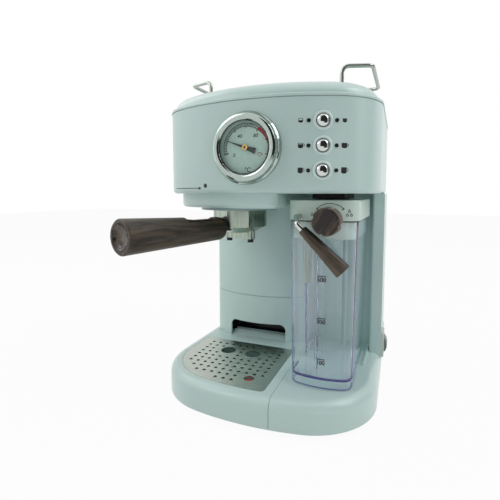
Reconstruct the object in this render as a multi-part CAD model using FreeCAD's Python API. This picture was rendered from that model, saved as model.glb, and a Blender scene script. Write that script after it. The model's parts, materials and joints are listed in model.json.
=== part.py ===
import FreeCAD, Part
import math
import os
from FreeCAD import Vector

# Pump espresso machine with a milk tank, in millimetres.
# X to the right, Y to the back, Z up. The origin lies on the worktop,
# under the centre of the footprint.

# Overall plan of the body
half_width = 112.0
body_depth = 285.0
widest_y = -64.0
side_lean = 5.5
rear_corner_radius = 26.0
base_front_radius = 281.0
base_corner_radius = 73.0
head_front_radius = 182.5
head_corner_radius = 58.0
head_set_back = 10.5
head_side_step = 1.8
wall = 2.5

# Heights
foot_height = 4.0
skirt_bottom = 5.0
plate_thickness = 2.0
rating_pad_height = 1.6
rating_pad_length = 80.0
rating_pad_width = 50.0
deck_height = 33.0
deck_edge_radius = 10.0
column_seam_height = 92.0
seam_gap = 0.5
head_bottom = 216.0
head_top = 298.4
head_bottom_radius = 4.0
head_lip_radius = 0.4

# Top cover
cover_top = 317.0
cover_seam = 0.4
cover_overhang = 0.6
cover_band_height = 3.0
cover_band_radius = 1.5
dome_inset = 4.0
dome_edge_width = 28.0
cup_recess_depth = 0.6
cup_recess_half_width = 64.0
cup_recess_front_y = -56.0
cup_recess_back_y = 50.0
cup_recess_corner = 8.0

# Clearances
rest_gap = 0.3
running_fit = 0.05
slide_gap = 0.5

# Column and milk bay
column_radius = 100.0
column_front_y = -10.0
column_right_x = half_width - 88.0
column_x = (column_right_x - half_width) / 2 + 6.0
column_set_in = 6.3
column_corner_radius = 18.0
column_edge_radius = 6.0
column_back_y = 60.0
bay_back_y = 28.0
bay_right_x = half_width - 15.0
bay_front_y = 5.0
rear_wall_y = 82.0
bay_nose_radius = 3.0
arch_left = column_x - 37.2
arch_right = column_x + 36.2
arch_top = 54.3
arch_corner_radius = 8.0
arch_back_y = 36.0
guide_rib_height = 2.5
guide_rib_width = 1.8
guide_rib_front_y = -37.0

# Drip tray
seam_x = column_right_x + 1.0
tray_wall = 2.2
tray_floor_top = 9.0
tray_track_x = half_width - 10.5
ramp_height = 4.5
ramp_depth = 9.0
ramp_start = 8.0
groove_margin = 0.6
groove_width = 5.8
groove_depth = 3.0
tongue_length = 25.0
grid_inset = 12.5
grid_right_x = column_right_x - 8.5
grid_back_y = -24.0
grid_corner_radius = 5.0
grid_thickness = 1.2
grid_ledge = 3.0
hole_radius = 1.85
hole_pitch_x = 8.8
hole_pitch_y = 9.2
hole_first_x = grid_right_x - 99.4
hole_first_y = -35.4
hole_columns = 11
hole_rows = 10
hole_margin = 8.5
cup_hole_radius = 8.8
cup_hole_x = column_x - 2.5
cup_hole_y = -53.0
cup_hole_half_spacing = 15.3
cup_hole_margin = 2.0
float_x = grid_right_x - 22.1
float_y = -110.0
float_hole_radius = 5.4
float_clear_radius = 12.6
float_clear_x = float_x + 1.0
float_clear_y = float_y - 2.5
float_radius = 3.5
float_drop = 2.4
float_base_radius = 8.0
float_base_height = 9.0

# Group and portafilter
group_y = -60.0
step_height = 14.0
step_inset = 10.0
step_edge_radius = 4.0
step_corner_radius = 8.0
step_back_y = 50.0
trim_radius = 41.6
trim_thickness = 3.0
group_radius = 36.0
group_flange_radius = 44.0
group_flange_thickness = 4.0
bowl_radius = 29.6
bowl_fit = 0.4
bowl_flat_distance = 28.6
bowl_rim_height = head_bottom - 7.3
bowl_shoulder_height = bowl_rim_height - 27.7
bowl_bottom_height = bowl_shoulder_height - 6.0
bowl_bottom_radius = 17.5
bowl_foot_height = bowl_bottom_height - 1.7
bowl_foot_radius = 9.0
bowl_floor = 2.5
bowl_bore_radius = 27.4
ledge_thickness = 4.6
lug_reach = 4.7
lug_height = 4.8
lug_angle = 36.0
lug_entry_margin = 4.0
insert_turn = 40.0
handle_angle = 18.0
basket_radius = 25.9
basket_wall = 0.6
basket_depth = 19.0
basket_lip_radius = 28.6
gasket_thickness = 4.4
screen_radius = 24.4
screen_thickness = 1.2
screw_head_radius = 4.0
screw_shank_radius = 2.5
spout_depth = 9.0
spout_top = bowl_shoulder_height + 0.5
spout_bottom = bowl_shoulder_height - 14.0
spout_end_radius = 5.0
spout_tip_radius = 3.2
spout_tip_height = 3.6
spout_tip_spacing = 31.0
spout_bore_radius = 2.0
handle_height = bowl_shoulder_height - 1.0
handle_start = 29.4
handle_end = 148.0
handle_start_radius = 12.0
handle_end_radius = 15.7
handle_root_rounding = 6.0
handle_dish_radius = 11.6
handle_dish_depth = 6.0
cap_thickness = 1.4
tang_radius = 3.4
tang_drop = 1.2
tang_start = 30.0
tang_end = 72.0
neck_width = 16.0
neck_start = 22.0
neck_end = 34.0
neck_top = handle_height + 10.5
neck_bottom = handle_height - 2.5
clip_recess_start = 41.5
clip_recess_end = 81.0
clip_recess_floor = handle_height + 8.6
clip_pivot = 45.5
clip_pivot_drop = 1.8
clip_knuckle_radius = 2.4
clip_knuckle_length = 8.0
clip_pin_radius = 1.2
clip_pin_length = 16.0
clip_thickness = 1.5
clip_length = 32.0

# Gauge
gauge_height = 256.5
bezel_radius = 33.2
bezel_front_radius = 29.6
bezel_reach = 10.0
bezel_opening_radius = 23.6
bezel_tube_radius = 30.6
bezel_tube_wall = 2.0
bezel_tube_depth = 12.0
gauge_hole_radius = 31.0
front_ring_thickness = 4.0
lens_thickness = 1.2
can_wall = 1.3
can_depth = 22.0
dial_seat = 0.5
dial_thickness = 0.8
pointer_gap = 0.9
pointer_thickness = 0.7
pointer_length = 17.5
pointer_tail = 10.0
pointer_hub_radius = 2.7
pointer_shaft_radius = 0.8
pointer_angle = 160.0

# Buttons
button_x = half_width - 46.5
button_top_height = 278.0
button_spacing = 21.1
button_count = 3
ring_radius = 8.5
ring_bore_radius = 6.4
ring_sleeve_radius = 7.5
ring_proud = 2.2
ring_sleeve_depth = 4.0
button_radius = 6.1
button_dome = 3.0
stem_radius = 2.0
stem_length = 14.0
button_travel = 2.0
switch_size = 8.0
board_offset = 20.0
board_thickness = 1.6
board_width = 34.0
board_height = 66.0
led_offset = 12.0
led_radius = 1.7

# Cup rails
rail_wire = 4.0
rail_outer_x = half_width - 13.2
rail_inner_x = half_width - 40.9
rail_front_y = -62.2
rail_front_sweep = 8.8
rail_back_y = 39.0
rail_back_sweep = 2.3
rail_side_lean = 1.1
rail_height = 340.7
rail_bend_radius = 7.0

# Milk tank
jar_left = column_right_x + 5.9
jar_right = bay_right_x - 3.3
jar_front_y = -104.5
jar_back_y = 0.0
jar_front_radius = 92.0
jar_corner_radius = 12.0
jar_back_corner_radius = 5.0
jar_wall = 2.2
jar_floor = 2.6
jar_skirt_height = 8.0
jar_top = 190.3
notch_right = jar_left + 20.1
notch_front_y = -71.5
notch_back_y = -38.0
notch_corner_radius = 5.0
lid_overhang = 1.2
lid_bottom = jar_top + 1.2
lid_top = lid_bottom + 18.6
lid_plug_depth = 17.0
lid_plug_wall = 1.6
lid_plug_gap = 0.5
lid_ceiling = 3.0
seal_width = 1.8
lever_x = jar_left + 11.1
lever_z = lid_bottom + 3.3
lever_wire_radius = 2.6
lever_bend_y = -112.0
lever_bend_radius = 2.7
lever_root_length = 7.0
lever_tail_length = 6.0
grip_start = Vector(lever_x + 6.8, lever_bend_y - 5.0, lever_z - 10.7)
grip_end = Vector(lever_x + 43.3, lever_bend_y - 3.0, lever_z - 46.6)
grip_start_radius = 4.2
grip_end_radius = 7.75
nozzle_y = -57.0
nozzle_radius = 7.6
nozzle_end_radius = 6.5
nozzle_bore_radius = 4.5
nozzle_bottom = 123.5
nozzle_flutes = 10
nozzle_flute_radius = 1.0
nozzle_slot_width = 18.0
knuckle_radius = 7.8
knob_x = jar_left + 39.9
knob_z = 191.8
knob_radius = 12.6
knob_length = 15.0
knob_scallops = 4
knob_scallop_radius = 2.4
knob_scallop_turn = 73.0
boss_radius = 9.0
boss_length = 3.6
spindle_radius = 3.0
spindle_reach = 3.2
pickup_x = jar_left + 42.1
pickup_y = -22.0
pickup_radius = 2.6
pickup_bottom = 48.0

# Steam coupling
port_left = jar_left + 10.1
port_right = jar_left + 43.6
port_front_y = -45.0
port_nozzle_radius = 4.0
port_nozzle_reach = 4.0
port_nozzle_height = 200.0
port_x = jar_left + 27.1
port_block_width = 18.0
port_bore_radius = 1.6

# Water tank at the back
water_tank_front_y = 85.0
water_tank_wall = 2.4
water_tank_set_in = 4.5
water_tank_top = 294.0
water_lid_thickness = 5.0
lid_ear_x = 62.0
lid_ear_width = 5.0
lid_pin_radius = 1.2
outlet_radius = 6.0
outlet_x = column_x
outlet_y = 112.0
outlet_depth = 5.0
socket_bottom = 24.0

# Power rocker on the right side
rocker_y = 17.0
rocker_z = 42.0
rocker_frame_height = 28.0
rocker_frame_width = 22.0
rocker_frame_proud = 3.2
rocker_height = 18.4
rocker_width = 15.0
rocker_rise = 6.4
rocker_end_rise = 3.0
rocker_pin_radius = 1.0
rocker_pin_reach = 0.9
rocker_tilt = 10.0
rocker_depth = 7.0

# Inner parts
boiler_radius = 33.0
boiler_height = 62.0
pump_radius = 19.0
pump_y = 58.0
pump_bottom = 100.0
pump_body_height = 52.0
pump_port_radius = 6.0
pump_port_length = 16.0
hose_radius = 4.0
hose_bore_radius = 2.6
valve_radius = 13.0
valve_height = 30.0
valve_coil_length = 32.0
valve_coil_width = 20.0
valve_coil_height = 18.0
valve_y = 5.0
valve_pipe_radius = 3.5
foot_radius = 9.0
foot_pad = 1.5
foot_front_margin = 34.0
foot_rear_margin = 46.0
screw_radius = 1.9
screw_length = 12.0
bottom_screw_head_radius = 3.6
bottom_screw_margin = 27.0
gland_radius = 9.0
gland_bore_radius = 3.6
gland_x = -60.0
gland_z = 18.0

front_y = -body_depth / 2
back_y = body_depth / 2
head_front_y = front_y + head_set_back
button_names = ("top", "middle", "bottom")


def box(x0, x1, y0, y1, z0, z1):
    return Part.makeBox(x1 - x0, y1 - y0, z1 - z0, Vector(x0, y0, z0))


def rod(radius, start, end):
    along = end - start
    return Part.makeCylinder(radius, along.Length, start, along)


def upright(radius, x, y, z0, z1):
    return Part.makeCylinder(radius, z1 - z0, Vector(x, y, z0))


def ring(outer, inner, x, y, z0, z1):
    return upright(outer, x, y, z0, z1).cut(upright(inner, x, y, z0 - 1, z1 + 1))


def turned(points, centre, axis, side):
    """Solid of revolution from (radius, along) points about the axis."""
    outline = [centre + side * r + axis * a for r, a in points]
    wire = Part.makePolygon(outline + [outline[0]])
    return Part.Face(wire).revolve(centre, axis, 360)


def fuse(shapes):
    whole = shapes[0]
    for shape in shapes[1:]:
        whole = whole.fuse(shape)
    return whole.removeSplitter()


def upright_edges(shape, where):
    """Vertical edges whose place in plan passes the test."""
    found = []
    for edge in shape.Edges:
        if len(edge.Vertexes) != 2:
            continue
        low, high = edge.Vertexes[0].Point, edge.Vertexes[1].Point
        if abs(low.x - high.x) > 0.01 or abs(low.y - high.y) > 0.01:
            continue
        if abs(low.z - high.z) > 0.5 and where(low.x, low.y):
            found.append(edge)
    return found


def level_edges(shape, z):
    """Edges that lie in one horizontal plane."""
    found = []
    for edge in shape.Edges:
        bounds = edge.BoundBox
        if abs(bounds.ZMin - z) < 0.01 and abs(bounds.ZMax - z) < 0.01:
            found.append(edge)
    return found


def outline(apex_y, front_radius, corner_radius, width, inset, end_y):
    """Closed plan of the body: bowed front, round corners, leaning sides."""
    lean = math.atan2(side_lean, back_y - widest_y)
    normal = Vector(math.cos(lean), math.sin(lean), 0)
    along = Vector(-math.sin(lean), math.cos(lean), 0)
    reach = normal.dot(Vector(width, widest_y, 0)) - inset
    centre = Vector(0, apex_y + front_radius, 0)
    radius = front_radius - inset
    corner = corner_radius - inset
    # The corner's centre lies one corner radius inside both the side and the front arc
    base = normal * (reach - corner) - centre
    half = base.dot(along)
    span = half * half - base.dot(base) + (radius - corner) ** 2
    corner_centre = normal * (reach - corner) + along * (-half - math.sqrt(span))
    outward = (corner_centre - centre).normalize()
    front_end = centre + outward * radius
    side_start = corner_centre + normal * corner
    middle = corner_centre + (outward + normal).normalize() * corner
    back = end_y
    rear = rear_corner_radius - inset
    rear_centre = Vector((reach - rear - normal.y * (back - rear)) / normal.x, back - rear, 0)
    side_end = rear_centre + normal * rear
    rear_middle = rear_centre + (normal + Vector(0, 1, 0)).normalize() * rear
    rear_end = rear_centre + Vector(0, rear, 0)

    def mirrored(point):
        return Vector(-point.x, point.y, 0)

    apex = centre - Vector(0, radius, 0)
    edges = [
        Part.Arc(mirrored(front_end), apex, front_end).toShape(),
        Part.Arc(front_end, middle, side_start).toShape(),
        Part.makeLine(side_start, side_end),
        Part.Arc(side_end, rear_middle, rear_end).toShape(),
        Part.makeLine(rear_end, mirrored(rear_end)),
        Part.Arc(mirrored(rear_end), mirrored(rear_middle), mirrored(side_end)).toShape(),
        Part.makeLine(mirrored(side_end), mirrored(side_start)),
        Part.Arc(mirrored(side_start), mirrored(middle), mirrored(front_end)).toShape(),
    ]
    return Part.Face(Part.Wire(edges))


def prism(face, z0, z1):
    return face.translated(Vector(0, 0, z0)).extrude(Vector(0, 0, z1 - z0))


def base_block(inset, z0, z1):
    face = outline(front_y, base_front_radius, base_corner_radius, half_width, inset, back_y - inset)
    return prism(face, z0, z1)


def head_block(inset, z0, z1):
    face = outline(head_front_y, head_front_radius, head_corner_radius,
                   half_width - head_side_step, inset, back_y - inset)
    return prism(face, z0, z1)


def column_cylinder(offset, z0, z1):
    centre_y = column_front_y + column_radius
    return upright(column_radius + offset, column_x, centre_y, z0, z1)


def column_block(inset, z0, z1):
    """The column's plan: a bowed front between the left side and the milk bay."""
    block = base_block(column_set_in + inset, z0, z1).common(column_cylinder(-inset, z0, z1))
    block = block.common(box(-2 * half_width, column_right_x - inset, front_y, column_back_y, z0, z1))
    left = upright_edges(block, lambda x, y: x < -half_width * 0.8 and y < column_back_y - 5)
    block = block.makeFillet(column_corner_radius - inset, left)
    right = upright_edges(block, lambda x, y: x > column_right_x - inset - 1 and y < bay_back_y)
    return block.makeFillet(column_edge_radius - inset, right)


def column_shell(z0, z1):
    outer = column_block(0, z0, z1)
    inner = column_block(wall, z0 - 1, z1 + 1)
    behind = box(-half_width + 3 * wall, column_right_x - wall, column_back_y - 3, column_back_y + 1,
                 z0 - 1, z1 + 1)
    return outer.cut(inner).cut(behind)


def deck_block(inset, z0):
    """The base up to its deck: rounded top edge, square only where the rear housing stands on it."""
    top = deck_height - inset
    reach = 2 * half_width
    whole = base_block(inset, z0, top)
    block = whole.makeFillet(deck_edge_radius - inset, level_edges(whole, top))
    for x0, y0 in ((0, bay_front_y + inset), (-reach, column_back_y + inset)):
        block = block.fuse(whole.common(box(x0, reach, y0, reach, z0, top)))
    return block.removeSplitter()


def tray_space(gap, z0, z1):
    """Room taken by the drip tray and its tongue under the column."""
    front = box(-2 * half_width, seam_x + gap, front_y - 10, column_front_y + 40, z0, z1)
    front = front.cut(column_cylinder(slide_gap - gap, z0, z1))
    tongue = box(arch_left + slide_gap - gap, arch_right - slide_gap + gap, column_front_y - 5,
                 column_front_y + tongue_length + gap, z0, z1)
    return fuse([front, tongue])


def make_base():
    plate_top = foot_height + plate_thickness
    tub = deck_block(0, skirt_bottom).cut(tray_space(0, 0, 2 * deck_height))
    inner = deck_block(wall, 0).cut(tray_space(wall, -1, 2 * deck_height))
    plate_room = base_block(2 * wall, 0, plate_top)
    bosses = []
    for x, y in screw_places():
        bosses.append(ring(2.5 * screw_radius, screw_radius, x, y, plate_top, deck_height - wall + 0.5))
    left_rib = box(jar_left - guide_rib_width - 0.7, jar_left - 0.7, guide_rib_front_y,
                   bay_back_y - 1, deck_height - 0.5, deck_height + guide_rib_height)
    right_rib = box(jar_right + 0.7, jar_right + guide_rib_width + 0.7, guide_rib_front_y,
                    bay_back_y - 1, deck_height - 0.5, deck_height + guide_rib_height)
    socket = upright(outlet_radius + 2.3, outlet_x, outlet_y, socket_bottom, deck_height)
    hole = upright(outlet_radius + rest_gap, outlet_x, outlet_y, socket_bottom + 3, deck_height + 1)
    hole = hole.fuse(upright(hose_bore_radius, outlet_x, outlet_y, 0, deck_height))
    hole = hole.fuse(upright(hose_radius + slide_gap, column_x, pump_y, deck_height - 9, deck_height + 1))
    switch_room = rocker_room(rocker_depth + 1.5)
    gland_hole = rod(gland_radius - 2.0, Vector(gland_x, back_y - 3 * wall, gland_z),
                     Vector(gland_x, back_y + wall, gland_z))
    tub = fuse([tub.cut(inner).cut(plate_room)] + bosses + [left_rib, right_rib, socket])
    tub = tub.cut(hole).cut(switch_room).cut(gland_hole)
    plate = base_block(2 * wall + 1.0, foot_height, plate_top)
    plate = plate.cut(box(-2 * half_width, -tray_track_x, front_y, column_back_y, 0, plate_top + 1))
    pad = box(-rating_pad_length / 2, rating_pad_length / 2, -rating_pad_width / 2, rating_pad_width / 2,
              foot_height - rating_pad_height, plate_top)
    plate = fuse([plate, pad])
    screws = []
    feet = []
    for x, y in screw_places():
        plate = plate.cut(upright(screw_radius + 0.3, x, y, 0, deck_height))
        head = upright(bottom_screw_head_radius, x, y, foot_height - 1.6, foot_height)
        screws.append(fuse([head, upright(screw_radius, x, y, foot_height, foot_height + screw_length)]))
    for x, y in foot_places():
        pad = upright(foot_radius, x, y, 0, foot_height)
        pad = pad.makeFillet(foot_pad, level_edges(pad, 0))
        feet.append(pad)
    gland = turned([(gland_bore_radius, -6), (gland_radius, -6), (gland_radius, -wall - 0.1),
                    (gland_radius - 2.1, -wall), (gland_radius - 2.1, 0), (gland_radius, 0.1),
                    (gland_radius - 1, 2.5), (gland_bore_radius, 2.5)],
                   Vector(gland_x, back_y, gland_z), Vector(0, 1, 0), Vector(1, 0, 0))
    return {
        "base_tub": tub,
        "base_plate": plate,
        "base_screws": Part.makeCompound(screws),
        "rubber_feet": Part.makeCompound(feet),
        "cord_gland": gland,
    }


def screw_places():
    side = half_width - bottom_screw_margin
    front = Vector(half_width - 2 * bottom_screw_margin + 2.0, front_y + 37.5, 0)
    return [(front.x, front.y), (side, 70), (5 - side, 70), (side, back_y - 20.5), (-side, back_y - 20.5)]


def foot_places():
    front, rear = half_width - foot_front_margin, half_width - foot_rear_margin
    return [(-front, front_y + 47.5), (front, front_y + 47.5), (-rear, back_y - 30.5), (rear, back_y - 30.5)]


def make_column():
    lower = column_shell(deck_height - wall, column_seam_height).cut(deck_block(0, 0))
    arch = box(arch_left, arch_right, column_front_y - 10, arch_back_y, deck_height - 5, arch_top)
    arch_edges = [edge for edge in arch.Edges
                  if abs(edge.BoundBox.ZMin - arch_top) < 0.01 and edge.BoundBox.YLength > 10]
    arch = arch.makeFillet(arch_corner_radius, arch_edges)
    lower = lower.cut(arch)
    bulkhead = box(arch_left - 8, arch_right + 8, arch_back_y, arch_back_y + wall,
                   deck_height, column_seam_height)
    roof = box(arch_left - 8, arch_right + 8, column_front_y + 14, arch_back_y + wall,
               arch_top + 4, arch_top + 4 + wall)
    left_web = box(arch_left - 8, arch_left - 8 + wall, column_front_y + 11, arch_back_y + wall,
                   deck_height, arch_top + 4 + wall)
    right_web = box(arch_right + 8 - wall, arch_right + 8, column_front_y + 11, arch_back_y + wall,
                    deck_height, arch_top + 4 + wall)
    tunnel = fuse([bulkhead, roof, left_web, right_web])
    upper = column_shell(column_seam_height + seam_gap, head_bottom)
    tunnel = tunnel.common(column_block(1.0, deck_height, column_seam_height))
    return {
        "column_lower_panel": fuse([lower, tunnel]),
        "column_upper_panel": upper,
    }


def rocker_room(depth):
    """Slot in the right side for the body of the power switch."""
    side_x = side_face_x(rocker_y)
    return box(side_x - depth, side_x + 20, rocker_y - rocker_frame_width / 2 + 2,
               rocker_y + rocker_frame_width / 2 - 2, rocker_z - rocker_frame_height / 2 + 2,
               rocker_z + rocker_frame_height / 2 - 2)


def side_face_x(y):
    lean = math.atan2(side_lean, back_y - widest_y)
    return half_width - (y - widest_y) * math.tan(lean)


def make_rear_housing():
    z0, z1 = deck_height, head_bottom
    skin = base_block(0, z0, z1).cut(base_block(wall, z0 - 1, z1 + 1))
    reach = 2 * half_width
    zone = fuse([box(-reach, reach, column_back_y, rear_wall_y + wall, z0, z1),
                 box(bay_right_x, reach, bay_front_y, column_back_y + 1, z0, z1)])
    skin = skin.common(zone)
    left_return = base_block(0, z0, z1).cut(base_block(column_set_in + wall, z0 - 1, z1 + 1))
    left_return = left_return.common(box(-reach, 0, column_back_y, column_back_y + wall, z0, z1))
    bay_wall = box(column_right_x, bay_right_x + wall, bay_back_y, bay_back_y + wall, z0, z1)
    right_inner = box(bay_right_x, bay_right_x + wall, bay_front_y + 4, bay_back_y + wall, z0, z1)
    nose = base_block(0, z0, z1).common(box(bay_right_x, reach, bay_front_y, bay_front_y + 5, z0, z1))
    nose = nose.makeFillet(bay_nose_radius, upright_edges(nose, lambda x, y: y < bay_front_y + 1))
    rear = base_block(0, z0, z1).common(box(-reach, reach, rear_wall_y, rear_wall_y + wall, z0, z1))
    housing = fuse([skin, left_return, bay_wall, right_inner, nose, rear])
    return {"rear_housing": housing.cut(rocker_room(rocker_depth + 1.5))}


def button_frame():
    """Place and outward direction of the button column on the bowed front."""
    angle = math.asin(button_x / head_front_radius)
    normal = Vector(math.sin(angle), -math.cos(angle), 0)
    centre = Vector(0, head_front_y + head_front_radius, 0)
    return centre + normal * head_front_radius, normal


def button_heights():
    return [button_top_height - i * button_spacing for i in range(button_count)]


def head_front_cylinder(offset):
    centre_y = head_front_y + head_front_radius
    return upright(head_front_radius + offset, 0, centre_y, head_bottom, head_top)


def make_head():
    reach = 2 * half_width
    zone = box(-reach, reach, -reach, rear_wall_y + wall, 0, 2 * head_top)
    shell = head_block(0, head_bottom, head_top).common(zone)
    shell = shell.makeFillet(head_bottom_radius, level_edges(shell, head_bottom))
    shell = shell.makeFillet(head_lip_radius, level_edges(shell, head_top))
    inner_zone = box(-reach, reach, -reach, rear_wall_y, 0, 2 * head_top)
    inner = head_block(wall, head_bottom + wall, head_top - wall).common(inner_zone)
    top_zone = box(-reach, reach, -reach, rear_wall_y - 6, 0, 2 * head_top)
    shell = shell.cut(inner)
    shell = shell.cut(head_block(9.0, head_top - wall - 1, head_top + 1).common(top_zone))
    shell = shell.cut(upright(group_radius + slide_gap, column_x, group_y, head_bottom - 1,
                              head_bottom + wall + 1))
    gauge_axis = Vector(0, head_front_y, gauge_height)
    shell = shell.cut(rod(gauge_hole_radius, gauge_axis - Vector(0, 10, 0), gauge_axis + Vector(0, 20, 0)))
    place, normal = button_frame()
    across = Vector(-normal.y, normal.x, 0)
    for z in button_heights():
        centre = Vector(place.x, place.y, z)
        shell = shell.cut(rod(ring_sleeve_radius + 0.1, centre + normal * 3, centre - normal * 8))
        for side in (-led_offset, led_offset):
            led = centre + across * side
            shell = shell.cut(rod(led_radius + running_fit, led + normal * 3, led - normal * 8))
    shell = shell.cut(box(column_x - 22, column_x + 22, pump_y - 16, pump_y + 18, head_bottom - 1,
                          head_bottom + wall + 1))
    shell = shell.cut(upright(valve_pipe_radius + rest_gap, port_x, valve_y, head_bottom - 1,
                              head_bottom + wall + 1))
    bosses = []
    for side in (-1, 1):
        for end in (-1, 1):
            foot = Vector(place.x, place.y, button_heights()[1] + end * (board_height / 2 - 4))
            foot = foot + across * side * (board_width / 2 - 4)
            bosses.append(rod(2.5, foot - normal * 1.2, foot - normal * board_offset))
    return {"head_shell": fuse([shell] + bosses)}


def make_underside():
    low = head_bottom - step_height
    cover = head_block(step_inset, low, head_bottom)
    cover = cover.common(box(-2 * half_width, column_right_x, front_y, step_back_y, 0, head_top))
    cover = cover.makeFillet(step_corner_radius, upright_edges(cover, is_step_corner))
    cover = cover.cut(column_cylinder(rest_gap, 0, head_top))
    cover = cover.makeFillet(step_edge_radius, level_edges(cover, low))
    hollow = head_block(step_inset + wall, low + wall, head_top)
    hollow = hollow.common(box(-2 * half_width, column_right_x - wall, front_y, step_back_y, 0, head_top))
    hollow = hollow.makeFillet(step_corner_radius - wall, upright_edges(hollow, is_step_corner))
    hollow = hollow.cut(column_cylinder(rest_gap + wall, 0, head_top))
    cover = cover.cut(hollow)
    cover = cover.cut(upright(group_radius + slide_gap, column_x, group_y, 0, head_top))
    trim = ring(trim_radius, group_radius + slide_gap, column_x, group_y, low - trim_thickness, low)
    return {"head_underside": cover, "group_trim_ring": trim}


def is_step_corner(x, y):
    return x > column_right_x - wall - 1 and y < group_y


def handle_direction():
    angle = math.radians(handle_angle)
    return Vector(-math.sin(angle), -math.cos(angle), 0)


def sector(radius_in, radius_out, middle, width, z0, z1):
    """Ring sector about the group axis, its middle at the angle given in degrees."""
    centre = Vector(column_x, group_y, z0)
    start = middle - width / 2
    pie = Part.makeCylinder(radius_out, z1 - z0, centre, Vector(0, 0, 1), width)
    pie.rotate(centre, Vector(0, 0, 1), start)
    return pie.cut(upright(radius_in, column_x, group_y, z0 - 1, z1 + 1))


def lug_angles():
    along = handle_direction()
    middle = math.degrees(math.atan2(along.y, along.x))
    return (middle + 90, middle - 90)


def make_group():
    trim_bottom = head_bottom - step_height - trim_thickness
    low = trim_bottom + 0.5
    ledge_top = low + ledge_thickness
    lug_top = ledge_top + lug_height + 2 * rest_gap
    seat_top = bowl_rim_height + basket_wall + rest_gap + gasket_thickness
    flange_bottom = head_bottom + wall
    body = upright(group_radius, column_x, group_y, low, flange_bottom + group_flange_thickness)
    flange = upright(group_flange_radius, column_x, group_y, flange_bottom,
                     flange_bottom + group_flange_thickness)
    body = fuse([body, flange])
    bore = bowl_radius + bowl_fit
    body = body.cut(upright(bore, column_x, group_y, low - 1, seat_top))
    body = body.cut(upright(bowl_radius + lug_reach + bowl_fit, column_x, group_y, ledge_top, lug_top))
    for angle in lug_angles():
        entry = sector(bore - 2, bowl_radius + lug_reach + bowl_fit, angle - insert_turn,
                       lug_angle + 2 * lug_entry_margin, low - 1, ledge_top + 1)
        body = body.cut(entry)
    screen_top = bowl_rim_height - 0.8
    block = upright(screen_radius, column_x, group_y, screen_top, seat_top + 1)
    body = fuse([body, block])
    body = body.cut(upright(screw_shank_radius + running_fit, column_x, group_y, 0, seat_top + 4))
    gasket = ring(bowl_radius + bowl_fit - rest_gap, screen_radius + 0.6, column_x, group_y,
                  seat_top - gasket_thickness, seat_top)
    screen = upright(screen_radius, column_x, group_y, screen_top - screen_thickness, screen_top)
    screen = screen.cut(upright(screw_shank_radius + running_fit, column_x, group_y, 0, head_top))
    screw = fuse([upright(screw_head_radius, column_x, group_y, screen_top - screen_thickness - 1.4,
                          screen_top - screen_thickness),
                  upright(screw_shank_radius, column_x, group_y, screen_top - screen_thickness - 1,
                          seat_top + 3.5)])
    return {"group_head": body, "group_gasket": gasket, "shower_screen": screen, "shower_screw": screw}


def along_handle(s0, s1, width, z0, z1):
    """Block centred on the handle's line, from s0 to s1 out from the group axis."""
    along = handle_direction()
    block = Part.makeBox(width, s1 - s0, z1 - z0, Vector(-width / 2, s0, z0))
    block.rotate(Vector(0, 0, 0), Vector(0, 0, 1), math.degrees(math.atan2(along.y, along.x)) - 90)
    block.translate(Vector(column_x, group_y, 0))
    return block


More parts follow.
